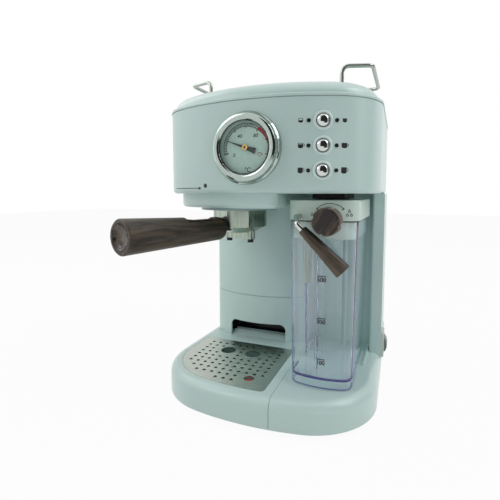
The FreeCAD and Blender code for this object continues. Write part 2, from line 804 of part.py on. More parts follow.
def make_portafilter():
    along = handle_direction()
    axis = Vector(column_x, group_y, 0)
    up = Vector(0, 0, 1)
    outer = turned([(0, bowl_foot_height), (bowl_foot_radius, bowl_foot_height),
                    (bowl_bottom_radius, bowl_bottom_height), (bowl_radius, bowl_shoulder_height),
                    (bowl_radius, bowl_rim_height), (0, bowl_rim_height)], axis, up, Vector(1, 0, 0))
    flats_top = head_bottom - step_height - trim_thickness - 0.8
    octagon = []
    for i in range(8):
        angle = math.radians(math.degrees(math.atan2(along.y, along.x)) + 22.5 + 45 * i)
        reach = bowl_flat_distance / math.cos(math.radians(22.5))
        octagon.append(axis + Vector(reach * math.cos(angle), reach * math.sin(angle), 0))
    flats = Part.Face(Part.makePolygon(octagon + [octagon[0]])).extrude(up * flats_top)
    outer = outer.common(fuse([flats, upright(2 * bowl_radius, column_x, group_y, flats_top, head_top)]))
    floor = bowl_bottom_height + bowl_floor
    hollow = turned([(0, floor), (bowl_bottom_radius - 1, floor), (bowl_bore_radius, floor + 5.2),
                     (bowl_bore_radius, head_top), (0, head_top)], axis, up, Vector(1, 0, 0))
    bowl = outer.cut(hollow)
    bowl = bowl.cut(upright(spout_bore_radius + 1.5, column_x, group_y, 0, head_top))
    ledge_top = head_bottom - step_height - trim_thickness + 0.5 + ledge_thickness
    lugs = [sector(bowl_radius - 1.5, bowl_radius + lug_reach, angle, lug_angle, ledge_top + rest_gap,
                   ledge_top + rest_gap + lug_height) for angle in lug_angles()]
    seat = upright(basket_lip_radius + 0.2, column_x, group_y, bowl_rim_height, head_top)
    bowl = fuse([bowl] + lugs).cut(seat)
    neck = along_handle(neck_start, neck_end, neck_width, neck_bottom, neck_top)
    tang_axis = axis + up * (handle_height - tang_drop)
    tang = rod(tang_radius, tang_axis + along * tang_start, tang_axis + along * tang_end)
    neck = fuse([neck, tang]).cut(outer)
    half = spout_tip_spacing / 2
    block = Part.makeBox(spout_tip_spacing, spout_depth, spout_top - spout_bottom,
                         Vector(-half, -spout_depth / 2, spout_bottom))
    ends = [upright(spout_end_radius, side * half, 0, spout_bottom, spout_top) for side in (-1, 1)]
    spout = fuse([block] + ends)
    spout = spout.cut(Part.makeBox(spout_tip_spacing, 2 * spout_bore_radius, 2 * spout_bore_radius,
                                   Vector(-half, -spout_bore_radius, spout_bottom + 3)))
    spout = spout.cut(upright(spout_bore_radius + 1.5, 0, 0, spout_bottom + 3, spout_top + 1))
    tips = []
    for side in (-1, 1):
        spout = spout.cut(upright(spout_bore_radius, side * half, 0, 0, spout_bottom + 4))
        tips.append(ring(spout_tip_radius, spout_bore_radius, side * half, 0, spout_bottom - spout_tip_height,
                         spout_bottom))
    tips = Part.makeCompound(tips)
    for shape in (spout, tips):
        shape.rotate(Vector(0, 0, 0), up, 90 + math.degrees(math.atan2(along.y, along.x)))
        shape.translate(axis)
    spout = spout.cut(outer)
    basket = turned([(0, bowl_rim_height - basket_depth), (basket_radius - 2, bowl_rim_height - basket_depth),
                     (basket_radius + basket_wall, bowl_rim_height - basket_depth + 3),
                     (basket_radius + basket_wall, bowl_rim_height),
                     (basket_lip_radius, bowl_rim_height), (basket_lip_radius, bowl_rim_height + basket_wall),
                     (basket_radius, bowl_rim_height + basket_wall),
                     (basket_radius, bowl_rim_height - basket_depth + 3.4),
                     (basket_radius - 2.2, bowl_rim_height - basket_depth + basket_wall),
                     (0, bowl_rim_height - basket_depth + basket_wall)], axis, up, Vector(1, 0, 0))
    return {
        "portafilter_bowl": bowl,
        "portafilter_neck": neck,
        "spout_block": spout,
        "spout_tips": tips,
        "filter_basket": basket,
    }


def make_handle():
    along = handle_direction()
    across = Vector(-along.y, along.x, 0)
    up = Vector(0, 0, 1)
    axis = Vector(column_x, group_y, handle_height)
    start = axis + along * handle_start
    length = handle_end - handle_start
    dish = handle_dish_radius
    root = handle_root_rounding
    handle = turned([(0, 0), (handle_start_radius - root, 0),
                     (handle_start_radius - root * 0.5, root * 0.134),
                     (handle_start_radius - root * 0.134, root * 0.5),
                     (handle_start_radius, root),
                     (handle_end_radius, length - 1.2), (handle_end_radius - 1.2, length),
                     (dish + 0.6, length), (dish, length - 0.8), (dish, length - handle_dish_depth),
                     (0, length - handle_dish_depth)], start, along, up)
    tang_axis = axis - up * tang_drop
    room = rod(tang_radius + running_fit, tang_axis + along * (tang_start - rest_gap),
               tang_axis + along * (tang_end + rest_gap))
    neck_room = along_handle(neck_start, neck_end + rest_gap, neck_width + 2 * rest_gap,
                             neck_bottom - rest_gap, neck_top + rest_gap)
    handle = handle.cut(room).cut(neck_room)
    recess = along_handle(clip_recess_start, clip_recess_end, 3 * handle_end_radius, clip_recess_floor,
                          handle_height + 2 * handle_end_radius)
    pivot_z = clip_recess_floor - clip_pivot_drop
    slot = along_handle(clip_pivot - clip_knuckle_radius - 0.6, clip_pivot + clip_knuckle_radius + 0.6,
                        clip_knuckle_length + 0.8, pivot_z - clip_knuckle_radius - 0.4, clip_recess_floor + 1)
    pivot = Vector(column_x, group_y, pivot_z) + along * clip_pivot
    pin_room = rod(clip_pin_radius + running_fit, pivot - across * (clip_pin_length / 2 + 0.3),
                   pivot + across * (clip_pin_length / 2 + 0.3))
    handle = handle.cut(recess).cut(slot).cut(pin_room)
    cap_depth = handle_dish_depth
    cap = turned([(0, length - cap_depth), (dish - 0.1, length - cap_depth), (dish - 0.1, length - 1.0),
                  (dish - 1.2, length - 1.0), (dish - 2.0, length - cap_depth + 2.6),
                  (dish - 5.0, length - cap_depth + cap_thickness), (0, length - cap_depth + cap_thickness)],
                 start, along, up)
    knuckle = rod(clip_knuckle_radius, pivot - across * clip_knuckle_length / 2,
                  pivot + across * clip_knuckle_length / 2)
    pin = rod(clip_pin_radius, pivot - across * clip_pin_length / 2, pivot + across * clip_pin_length / 2)
    arm_z = clip_recess_floor + rest_gap
    arm_top = arm_z + clip_thickness
    arm_end = clip_pivot + clip_length
    arm = along_handle(clip_pivot, arm_end, clip_knuckle_length, arm_z, arm_top)
    web = along_handle(clip_pivot - 0.8, clip_pivot + 1.8, clip_knuckle_length, pivot_z, arm_top)
    tab = along_handle(arm_end - 4, arm_end, clip_knuckle_length + 3, arm_z, arm_top + 0.9)
    return {
        "portafilter_handle": handle,
        "handle_end_cap": cap,
        "filter_clip": fuse([knuckle, pin, arm, web, tab]),
    }


def make_gauge():
    centre = Vector(0, head_front_y, gauge_height)
    forward = Vector(0, -1, 0)
    side = Vector(1, 0, 0)
    tube_inner = bezel_tube_radius - bezel_tube_wall
    ring_back = bezel_reach - front_ring_thickness
    flange = turned([(tube_inner, -6), (bezel_radius, -6), (bezel_radius, 1.2),
                     (bezel_radius - 0.6, 2.0), (bezel_radius - 2.0, 3.4),
                     (bezel_front_radius + 0.4, bezel_reach - 3.0), (bezel_front_radius, bezel_reach - 1.2),
                     (bezel_front_radius - 1.2, bezel_reach), (bezel_opening_radius + 1.0, bezel_reach),
                     (bezel_opening_radius, bezel_reach - 1.0), (bezel_opening_radius, ring_back),
                     (tube_inner, ring_back)], centre, forward, side)
    flange = flange.cut(head_front_cylinder(0.05))
    tube = turned([(tube_inner, -bezel_tube_depth), (bezel_tube_radius, -bezel_tube_depth),
                   (bezel_tube_radius, 1.0), (tube_inner, 1.0)], centre, forward, side)
    can_radius = tube_inner - 0.2
    lens_back = ring_back - lens_thickness - 0.1
    can_inner = can_radius - can_wall
    can = turned([(0, -can_depth), (can_radius, -can_depth), (can_radius, lens_back - 0.1),
                  (can_inner, lens_back - 0.1), (can_inner, dial_seat), (can_inner - 4, dial_seat),
                  (can_inner - 4, dial_seat - 1.2), (can_inner, dial_seat - 1.2),
                  (can_inner, -can_depth + can_wall), (0, -can_depth + can_wall)], centre, forward, side)
    dial = turned([(pointer_shaft_radius + running_fit, dial_seat), (can_inner - 0.2, dial_seat),
                   (can_inner - 0.2, dial_seat + dial_thickness),
                   (pointer_shaft_radius + running_fit, dial_seat + dial_thickness)], centre, forward, side)
    lens = turned([(0, lens_back), (can_radius, lens_back), (can_radius, lens_back + lens_thickness),
                   (0, lens_back + lens_thickness)], centre, forward, side)
    level = dial_seat + dial_thickness + pointer_gap
    plane = centre + forward * level
    blade = Part.makePolygon([plane + Vector(*point) for point in [
        (0, 0, -1.1), (pointer_length, 0, -0.2), (pointer_length, 0, 0.2), (0, 0, 1.1),
        (-pointer_tail, 0, 2.6), (-pointer_tail, 0, -2.6), (0, 0, -1.1)]])
    blade = Part.Face(blade).extrude(forward * pointer_thickness)
    hub = rod(pointer_hub_radius, plane, plane + forward * (pointer_thickness + 0.6))
    shaft = rod(pointer_shaft_radius, centre - forward * 6, plane + forward * 0.3)
    pointer = fuse([blade, hub, shaft])
    pointer.rotate(centre, Vector(0, -1, 0), pointer_angle)
    return {
        "gauge_bezel": fuse([flange, tube]),
        "gauge_can": can,
        "gauge_dial": dial,
        "gauge_lens": lens,
        "gauge_pointer": pointer,
    }


def make_buttons():
    place, normal = button_frame()
    across = Vector(-normal.y, normal.x, 0)
    up = Vector(0, 0, 1)
    parts = {}
    rings, leds, switches = [], [], []
    for name, z in zip(button_names, button_heights()):
        centre = Vector(place.x, place.y, z)
        collar = turned([(ring_bore_radius, -1.2), (ring_radius, -1.2), (ring_radius, ring_proud - 1.0),
                         (ring_radius - 0.9, ring_proud), (ring_bore_radius + 0.5, ring_proud),
                         (ring_bore_radius, ring_proud - 0.5)], centre, normal, up)
        collar = collar.cut(head_front_cylinder(0.05))
        sleeve = turned([(ring_bore_radius, -ring_sleeve_depth), (ring_sleeve_radius, -ring_sleeve_depth),
                         (ring_sleeve_radius, 0.6), (ring_bore_radius, 0.6)], centre, normal, up)
        rings.append(fuse([collar, sleeve]))
        stop = ring_sleeve_depth + rest_gap
        cap = turned([(0, -stop - 1.1), (ring_sleeve_radius - 0.5, -stop - 1.1),
                      (ring_sleeve_radius - 0.5, -stop), (button_radius, -stop), (button_radius, 1.0),
                      (button_radius * 0.92, 1.0 + button_dome * 0.35),
                      (button_radius * 0.71, 1.0 + button_dome * 0.7),
                      (button_radius * 0.38, 1.0 + button_dome * 0.94), (0, 1.0 + button_dome)],
                     centre, normal, up)
        stem = rod(stem_radius, centre - normal * stem_length, centre - normal * ring_sleeve_depth)
        parts["brew_button_" + name] = fuse([cap, stem])
        for offset in (-led_offset, led_offset):
            foot = centre + across * offset
            leds.append(rod(led_radius, foot - normal * 4, foot + normal * 0.35))
        switch = Part.makeBox(switch_size, board_offset - stem_length + 1.0, switch_size,
                              Vector(-switch_size / 2, -board_offset, -switch_size / 2))
        switch.rotate(Vector(0, 0, 0), up, math.degrees(math.atan2(normal.y, normal.x)) - 90)
        switch.translate(centre)
        well = rod(stem_radius + rest_gap, centre - normal * (stem_length + button_travel + 0.4), centre)
        switches.append(switch.cut(well))
    middle = Vector(place.x, place.y, button_heights()[1])
    board = Part.makeBox(board_width, board_thickness, board_height,
                         Vector(-board_width / 2, -board_offset - board_thickness, -board_height / 2))
    board.rotate(Vector(0, 0, 0), up, math.degrees(math.atan2(normal.y, normal.x)) - 90)
    board.translate(middle)
    parts["button_rings"] = Part.makeCompound(rings)
    parts["indicator_lenses"] = Part.makeCompound(leds)
    parts["control_board"] = fuse([board] + switches)
    return parts


def rail(side):
    """One bent wire rail: up from the cover, out, back, in and down again."""
    top = rail_height - rail_wire / 2
    inner_x, outer_x = side * rail_inner_x, side * rail_outer_x
    corners = [
        Vector(inner_x, rail_front_y, cover_top),
        Vector(inner_x, rail_front_y, top),
        Vector(outer_x, rail_front_y + rail_front_sweep, top),
        Vector(outer_x - side * rail_side_lean, rail_back_y - rail_back_sweep, top),
        Vector(inner_x, rail_back_y, top),
        Vector(inner_x, rail_back_y, cover_top),
    ]
    return bent_rod(corners, rail_wire / 2, rail_bend_radius)


def bent_rod(corners, radius, bend):
    """Round wire along straight runs joined by tangent arcs."""
    edges = []
    start = corners[0]
    for i in range(1, len(corners) - 1):
        before = (corners[i - 1] - corners[i]).normalize()
        after = (corners[i + 1] - corners[i]).normalize()
        half = before.getAngle(after) / 2
        reach = bend / math.tan(half)
        centre = corners[i] + (before + after).normalize() * (bend / math.sin(half))
        first = corners[i] + before * reach
        last = corners[i] + after * reach
        middle = centre + (corners[i] - centre).normalize() * bend
        edges.append(Part.makeLine(start, first))
        edges.append(Part.Arc(first, middle, last).toShape())
        start = last
    edges.append(Part.makeLine(start, corners[-1]))
    path = Part.Wire(edges)
    direction = corners[1] - corners[0]
    section = Part.Wire([Part.makeCircle(radius, corners[0], direction)])
    return path.makePipeShell([section], True, False)


def soft_block(inset, edge, rear_y, low, high):
    """The head's plan with a wide, flattened rounding all round its top."""
    depth = edge + 1.0
    block = head_block(inset, 0, depth)
    block = block.common(box(-2 * half_width, 2 * half_width, front_y, rear_y, 0, depth))
    block = block.makeFillet(edge, level_edges(block, depth))
    flatten = FreeCAD.Matrix()
    flatten.scale(1.0, 1.0, (high - low) / depth)
    block = block.transformGeometry(flatten)
    block.translate(Vector(0, 0, low))
    return block


def make_top():
    reach = 2 * half_width
    band_low = head_top + cover_seam
    band_top = band_low + cover_band_height
    rear_y = rear_wall_y - dome_inset
    band = head_block(-cover_overhang, band_low, band_top)
    band = band.common(box(-reach, reach, -reach, rear_wall_y + wall - slide_gap, 0, 2 * head_top))
    band = band.makeFillet(cover_band_radius, level_edges(band, band_top))
    foot = head_block(dome_inset, head_top, band_low + 1)
    foot = foot.common(box(-reach, reach, -reach, rear_y + wall, 0, 2 * head_top))
    dome = soft_block(dome_inset, dome_edge_width, rear_y + wall, band_top - 0.5, cover_top)
    room = head_block(dome_inset + wall, head_top - 1, band_top)
    room = room.common(box(-reach, reach, -reach, rear_y, 0, 2 * head_top))
    hollow = soft_block(dome_inset + wall, dome_edge_width - wall, rear_y, band_top - 0.5, cover_top - wall)
    recess = box(-cup_recess_half_width, cup_recess_half_width, cup_recess_front_y, cup_recess_back_y,
                 cover_top - cup_recess_depth, cover_top + 1)
    recess = recess.makeFillet(cup_recess_corner, upright_edges(recess, lambda x, y: True))
    cover = fuse([foot, band, dome]).cut(room).cut(hollow).cut(recess)
    return {
        "top_cover": cover,
        "cup_rail_left": rail(-1),
        "cup_rail_right": rail(1),
    }


def make_drip_tray():
    plate_top = foot_height + plate_thickness
    body = deck_block(0, skirt_bottom).common(tray_space(-slide_gap, 0, deck_height))
    left, right = arch_left + 2 * slide_gap, arch_right - 2 * slide_gap
    ramp_y = column_front_y + ramp_start
    crest_y, crest_z = ramp_y + ramp_depth, deck_height + ramp_height
    groove_y = crest_y + groove_margin
    end_y = column_front_y + tongue_length - slide_gap
    profile = [(ramp_y, deck_height - 8), (end_y, deck_height - 8), (end_y, crest_z),
               (groove_y + groove_width, crest_z), (groove_y + groove_width, crest_z - groove_depth),
               (groove_y, crest_z - groove_depth), (groove_y, crest_z), (crest_y, crest_z),
               (ramp_y, deck_height)]
    side = [Vector(left, y, z) for y, z in profile]
    ramp = Part.Face(Part.makePolygon(side + [side[0]])).extrude(Vector(right - left, 0, 0))
    body = fuse([body, ramp])
    body = body.cut(base_block(2 * wall, 0, plate_top + rest_gap))
    grid_room = grid_plan(-rest_gap, deck_height - grid_thickness, deck_height + 1)
    basin = grid_plan(grid_ledge, tray_floor_top, deck_height + 1)
    float_well = ring(float_base_radius + 2.2, float_base_radius + 0.6, float_x, float_y,
                      tray_floor_top - 0.5, tray_floor_top + float_base_height)
    float_well = float_well.cut(box(float_x - 40, float_x + 40, float_y - 2.5, float_y + 2.5,
                                    tray_floor_top, deck_height))
    under = deck_block(wall, 0).common(tray_space(-slide_gap - tray_wall, 0, deck_height - wall))
    under = under.cut(grid_plan(grid_ledge - tray_wall, 0, deck_height))
    tray = body.cut(grid_room).cut(basin).cut(under)
    tray = fuse([tray, float_well.common(basin)])
    grid = grid_plan(0, deck_height - grid_thickness, deck_height)
    holes = []
    cup_holes = [Vector(cup_hole_x + side * cup_hole_half_spacing, cup_hole_y, 0) for side in (-1, 1)]
    cup_clear = cup_hole_radius + hole_radius + cup_hole_margin
    float_clear = Vector(float_clear_x, float_clear_y, 0)
    safe = grid_plan(hole_margin, deck_height - grid_thickness, deck_height)
    for row in range(hole_rows):
        for column in range(hole_columns):
            spot = Vector(hole_first_x + column * hole_pitch_x, hole_first_y - row * hole_pitch_y, 0)
            if min((spot - cup).Length for cup in cup_holes) < cup_clear:
                continue
            if (spot - float_clear).Length < float_clear_radius:
                continue
            if safe.isInside(spot + Vector(0, 0, deck_height - grid_thickness / 2), 0.01, True):
                holes.append(upright(hole_radius, spot.x, spot.y, deck_height - 3, deck_height + 1))
    for cup in cup_holes:
        holes.append(upright(cup_hole_radius, cup.x, cup.y, deck_height - 3, deck_height + 1))
    holes.append(upright(float_hole_radius, float_x, float_y, deck_height - 3, deck_height + 1))
    grid = grid.cut(Part.makeCompound(holes))
    float_top = deck_height - float_drop
    float_piece = fuse([upright(float_base_radius, float_x, float_y, tray_floor_top + rest_gap,
                                tray_floor_top + float_base_height - 1),
                        upright(float_radius, float_x, float_y, tray_floor_top + 1, float_top)])
    return {"drip_tray": tray, "drip_grid": grid, "drip_float": float_piece}


def grid_plan(inset, z0, z1):
    """Plan of the steel grid: bowed front and left side, straight back and right edges."""
    block = base_block(grid_inset + inset, z0, z1)
    block = block.common(box(-2 * half_width, grid_right_x - inset, front_y, grid_back_y - inset, z0, z1))
    corner = max(grid_corner_radius - inset, 1.0)
    edges = upright_edges(block, lambda x, y: x > grid_right_x - inset - 0.5 or y > grid_back_y - inset - 0.5)
    return block.makeFillet(corner, edges)


def jar_plan(inset, z0, z1, notched):
    """Milk tank plan: bowed front, round corners and, if asked for, the spout notch."""
    middle = (jar_left + jar_right) / 2
    block = box(jar_left + inset, jar_right - inset, jar_front_y - 5, jar_back_y - inset, z0, z1)
    block = block.common(upright(jar_front_radius - inset, middle, jar_front_y + jar_front_radius, z0, z1))
    front = upright_edges(block, lambda x, y: y < (jar_front_y + jar_back_y) / 2)
    block = block.makeFillet(jar_corner_radius - inset, front)
    back = upright_edges(block, lambda x, y: y > jar_back_y - inset - 0.5)
    block = block.makeFillet(jar_back_corner_radius - inset, back)
    if notched:
        notch = box(jar_left - 10, notch_right + inset, notch_front_y - inset, notch_back_y + inset,
                    z0 - 1, z1 + 1)
        corners = upright_edges(notch, lambda x, y: x > notch_right - 1)
        block = block.cut(notch.makeFillet(notch_corner_radius + inset, corners))
    return block


def make_milk_tank():
    bottom = deck_height + rest_gap
    jar = jar_plan(0, bottom, jar_top, True)
    floor = bottom + jar_skirt_height
    jar = jar.cut(jar_plan(jar_wall, floor + jar_floor, jar_top + 1, True))
    jar = jar.cut(jar_plan(jar_wall, 0, floor, True))
    seal = jar_plan(0.2, jar_top, lid_bottom, True).cut(jar_plan(0.2 + seal_width, jar_top - 1,
                                                                 lid_bottom + 1, True))
    lid = jar_plan(-lid_overhang, lid_bottom, lid_top, False)
    lid = lid.makeFillet(1.2, level_edges(lid, lid_top))
    plug_inset = jar_wall + lid_plug_gap
    plug = jar_plan(plug_inset, lid_bottom - lid_plug_depth, lid_bottom + 1, True)
    plug = plug.cut(jar_plan(plug_inset + lid_plug_wall, 0, lid_bottom, True))
    boss_front = jar_front_y - lid_overhang - boss_length
    boss = rod(boss_radius, Vector(knob_x, jar_front_y + 6, knob_z), Vector(knob_x, boss_front, knob_z))
    boss = boss.cut(jar_plan(-0.4, 0, lid_bottom, False))
    lid = fuse([lid, plug, boss])
    slot = box(jar_left - 10, lever_x + knuckle_radius + 4, nozzle_y - nozzle_slot_width / 2,
               nozzle_y + nozzle_slot_width / 2, lid_bottom - 2, lever_z + knuckle_radius + slide_gap)
    lid = lid.cut(slot)
    ceiling = lid_top - lid_ceiling
    lid = lid.cut(box(lever_x + knuckle_radius + 10, jar_right - 6, jar_front_y + 16, jar_back_y - 8, 0,
                      ceiling))
    lid = lid.cut(box(jar_left + 6, lever_x + knuckle_radius + 7, notch_back_y + 7, jar_back_y - 8, 0,
                      ceiling))
    bore_end = nozzle_y + nozzle_slot_width / 2 + 6
    lid = lid.cut(rod(lever_wire_radius + running_fit, Vector(lever_x, jar_front_y - 20, lever_z),
                      Vector(lever_x, bore_end, lever_z)))
    lid = lid.cut(rod(spindle_radius + running_fit, Vector(knob_x, boss_front - 1, knob_z),
                      Vector(knob_x, boss_front + spindle_reach + 0.4, knob_z)))
    socket_y = jar_back_y + lid_overhang
    lid = lid.cut(rod(port_nozzle_radius + rest_gap, Vector(port_x, socket_y + 1, port_nozzle_height),
                      Vector(port_x, socket_y - port_nozzle_reach - 1, port_nozzle_height)))
    pickup = ring(pickup_radius, pickup_radius - 1, pickup_x, pickup_y, pickup_bottom, ceiling)
    return {"milk_jar": jar, "lid_seal": seal, "milk_lid": lid, "milk_pickup_tube": pickup}


def make_froth_controls():
    boss_front = jar_front_y - lid_overhang - boss_length
    back = boss_front - rest_gap
    knob = turned([(0, 0), (knob_radius, 0), (knob_radius, knob_length - 1.6),
                   (knob_radius - 1.2, knob_length - 0.4), (knob_radius - 2.4, knob_length),
                   (0, knob_length)],
                  Vector(knob_x, back, knob_z), Vector(0, -1, 0), Vector(1, 0, 0))
    for i in range(knob_scallops):
        angle = math.radians(360 / knob_scallops * i + knob_scallop_turn)
        reach = knob_radius + knob_scallop_radius * 0.45
        foot = Vector(knob_x + reach * math.cos(angle), back + 1, knob_z + reach * math.sin(angle))
        knob = knob.cut(rod(knob_scallop_radius, foot, foot - Vector(0, knob_length + 2, 0)))
    spindle = rod(spindle_radius, Vector(knob_x, back - 3, knob_z),
                  Vector(knob_x, boss_front + spindle_reach, knob_z))
    knob_end = Vector(knob_x, back, knob_z)
    knob = knob.cut(rod(spindle_radius, knob_end + Vector(0, 1, 0), knob_end - Vector(0, 3, 0)))
    direction = (grip_end - grip_start).normalize()
    shaft_end = nozzle_y + nozzle_slot_width / 2 + 5
    bend = Vector(lever_x, lever_bend_y, lever_z)
    knee = grip_start - direction * lever_root_length
    tail = grip_start + direction * lever_tail_length
    elbow = bent_rod([Vector(lever_x, shaft_end, lever_z), bend, knee, tail], lever_wire_radius,
                     lever_bend_radius)
    grip = Part.makeCone(grip_start_radius, grip_end_radius, (grip_end - grip_start).Length, grip_start,
                         direction)
    rims = [edge for edge in grip.Edges if len(edge.Vertexes) == 1]
    grip = grip.makeFillet(0.8, rims)
    grip = grip.cut(rod(lever_wire_radius, grip_start - direction, tail))
    top = lever_z
    shoulder = jar_top - lid_plug_depth
    nozzle = Part.makeCone(nozzle_end_radius, nozzle_radius, shoulder - nozzle_bottom,
                           Vector(lever_x, nozzle_y, nozzle_bottom), Vector(0, 0, 1))
    nozzle = nozzle.fuse(upright(nozzle_radius, lever_x, nozzle_y, shoulder, top))
    for i in range(nozzle_flutes):
        angle = math.radians(360 / nozzle_flutes * i)
        side = Vector(math.cos(angle), math.sin(angle), 0)
        low = Vector(lever_x, nozzle_y, nozzle_bottom - 1) + side * (nozzle_end_radius + 0.3)
        high = Vector(lever_x, nozzle_y, shoulder) + side * (nozzle_radius + 0.3)
        nozzle = nozzle.cut(rod(nozzle_flute_radius, low, high))
    half = nozzle_slot_width / 2 - rest_gap
    knuckle = rod(knuckle_radius, Vector(lever_x, nozzle_y - half, lever_z),
                  Vector(lever_x, nozzle_y + half, lever_z))
    nozzle = fuse([nozzle, knuckle])
    nozzle = nozzle.cut(upright(nozzle_bore_radius, lever_x, nozzle_y, nozzle_bottom - 1,
                                lever_z - lever_wire_radius - 2))
    nozzle = nozzle.cut(rod(lever_wire_radius, Vector(lever_x, nozzle_y - nozzle_slot_width, lever_z),
                            Vector(lever_x, nozzle_y + nozzle_slot_width, lever_z)))
    return {
        "froth_knob": knob,
        "knob_spindle": spindle,
        "lever_elbow": elbow,
        "lever_grip": grip,
        "dispensing_tube": nozzle,
    }


def make_steam_port():
    bottom = lid_top + 0.6
    slab = box(port_left, port_right, port_front_y, bay_back_y, bottom, head_bottom)
    socket_y = jar_back_y + lid_overhang
    half = port_block_width / 2
    block = box(port_x - half, port_x + half, socket_y + 3, bay_back_y, port_nozzle_height - 10, bottom + 1)
    nozzle = rod(port_nozzle_radius, Vector(port_x, socket_y + 4, port_nozzle_height),
                 Vector(port_x, socket_y - port_nozzle_reach, port_nozzle_height))
    pipe = upright(valve_pipe_radius, port_x, valve_y, bottom + 2, head_bottom + wall)
    port = fuse([slab, block, nozzle, pipe])
    port = port.cut(rod(port_bore_radius, Vector(port_x, socket_y - 10, port_nozzle_height),
                                 Vector(port_x, socket_y + 8, port_nozzle_height)))
    floor = head_bottom + wall
    valve = upright(valve_radius, port_x, valve_y, floor, floor + valve_height)
    coil_bottom = floor + (valve_height - valve_coil_height) / 2
    coil = box(port_x - valve_coil_length / 2, port_x + valve_coil_length / 2,
               valve_y - valve_coil_width / 2, valve_y + valve_coil_width / 2,
               coil_bottom, coil_bottom + valve_coil_height)
    return {"steam_port": port, "steam_valve": fuse([valve, coil])}


def make_water_tank():
    reach = 2 * half_width
    bottom = deck_height + rest_gap
    zone = box(-reach, reach, water_tank_front_y, reach, 0, 2 * head_top)
    inner_zone = box(-reach, reach, water_tank_front_y + water_tank_wall, reach, 0, 2 * head_top)
    tank = base_block(water_tank_set_in, bottom, water_tank_top).common(zone)
    inner = base_block(water_tank_set_in + water_tank_wall, bottom + water_tank_wall, water_tank_top + 1)
    tank = tank.cut(inner.common(inner_zone))
    outlet = upright(outlet_radius, outlet_x, outlet_y, deck_height - outlet_depth, bottom + 1)
    tank = fuse([tank, outlet])
    tank = tank.cut(upright(outlet_radius - 2, outlet_x, outlet_y, 0, bottom + water_tank_wall + 1))
    lid_low = water_tank_top + rest_gap
    lid_high = lid_low + water_lid_thickness
    hinge_z = (lid_low + lid_high) / 2
    hinge_y = water_tank_front_y + water_lid_thickness / 2 + rest_gap
    lid_zone = box(-reach, reach, hinge_y, reach, 0, 2 * head_top)
    lid = base_block(water_tank_set_in, lid_low, lid_high).common(lid_zone)
    rim = [edge for edge in level_edges(lid, lid_high) if edge.BoundBox.YMax > hinge_y + 1]
    lid = lid.makeFillet(1.5, rim)
    edge_x = side_face_x(hinge_y) - water_tank_set_in - 0.1
    barrel = rod(water_lid_thickness / 2, Vector(-edge_x, hinge_y, hinge_z), Vector(edge_x, hinge_y, hinge_z))
    lid = fuse([lid, barrel])
    pin_half = lid_ear_x + lid_ear_width
    for side in (-1, 1):
        inner_x, outer_x = sorted((side * lid_ear_x, side * pin_half))
        lid = lid.cut(box(inner_x - slide_gap, outer_x + slide_gap, water_tank_front_y - 1, hinge_y + 3.5,
                          lid_low - 1, lid_high + 1))
        ear = rod(water_lid_thickness / 2, Vector(inner_x, hinge_y, hinge_z),
                  Vector(outer_x, hinge_y, hinge_z))
        foot = box(inner_x, outer_x, hinge_y - water_lid_thickness / 2, hinge_y + water_lid_thickness / 2,
                   water_tank_top - 6, hinge_z)
        ear = fuse([ear, foot])
        tank = fuse([tank, ear])
        tank = tank.cut(rod(lid_pin_radius + running_fit, Vector(inner_x - 1, hinge_y, hinge_z),
                            Vector(outer_x + 1, hinge_y, hinge_z)))
        lid = fuse([lid, rod(lid_pin_radius, Vector(inner_x - 3, hinge_y, hinge_z),
                             Vector(outer_x + 3, hinge_y, hinge_z))])
    grip = box(-22, 22, back_y - 9, back_y + 1, lid_low - 1, lid_low + 2.2)
    lid = lid.cut(grip)
    return {"water_tank": tank, "water_tank_lid": lid}


def make_power_switch():
    side_x = side_face_x(rocker_y)
    lean = math.degrees(math.atan2(side_lean, back_y - widest_y))
    half_w, half_h = rocker_frame_width / 2, rocker_frame_height / 2
    plate = box(-1.2, rocker_frame_proud, -half_w, half_w, -half_h, half_h)
    plate = plate.makeFillet(1.2, [edge for edge in plate.Edges
                                   if edge.BoundBox.XLength < 0.1 and edge.BoundBox.XMin > 0.5])
    skirt = box(-rocker_depth, 0, -half_w + 2.3, half_w - 2.3, -half_h + 2.3, half_h - 2.3)
    window = box(-rocker_depth + 1.2, 5, -rocker_width / 2 - rest_gap, rocker_width / 2 + rest_gap,
                 -rocker_height / 2 - 1.2, rocker_height / 2 + 1.2)
    frame = fuse([plate, skirt]).cut(window)
    pin_half = rocker_width / 2 + rocker_pin_reach
    pin_room = rod(rocker_pin_radius + running_fit, Vector(-1.5, -pin_half - 0.1, 0),
                   Vector(-1.5, pin_half + 0.1, 0))
    frame = frame.cut(pin_room)
    half = rocker_height / 2
    end = rocker_end_rise
    face = Part.Arc(Vector(end, 0, -half), Vector(rocker_rise, 0, 0), Vector(end, 0, half))
    low = Part.makePolygon([Vector(end, 0, half), Vector(-2.6, 0, half * 0.8),
                            Vector(-3.4, 0, 0), Vector(-2.6, 0, -half * 0.8), Vector(end, 0, -half)])
    rocker = Part.Face(Part.Wire([face.toShape()] + low.Edges)).extrude(Vector(0, rocker_width, 0))
    rocker.translate(Vector(0, -rocker_width / 2, 0))
    pin = rod(rocker_pin_radius, Vector(-1.5, -pin_half, 0), Vector(-1.5, pin_half, 0))
    rocker = fuse([rocker, pin])
    rocker.rotate(Vector(-1.5, 0, 0), Vector(0, 1, 0), -rocker_tilt)
    for shape in (frame, rocker):
        shape.rotate(Vector(0, 0, 0), Vector(0, 0, 1), lean)
        shape.translate(Vector(side_x, rocker_y, rocker_z))
    flush = base_block(0.0, 0, head_top)
    frame_skin = frame.cut(flush.cut(rocker_room(rocker_depth + 1.5)))
    return {"switch_frame": frame_skin, "power_rocker": rocker}


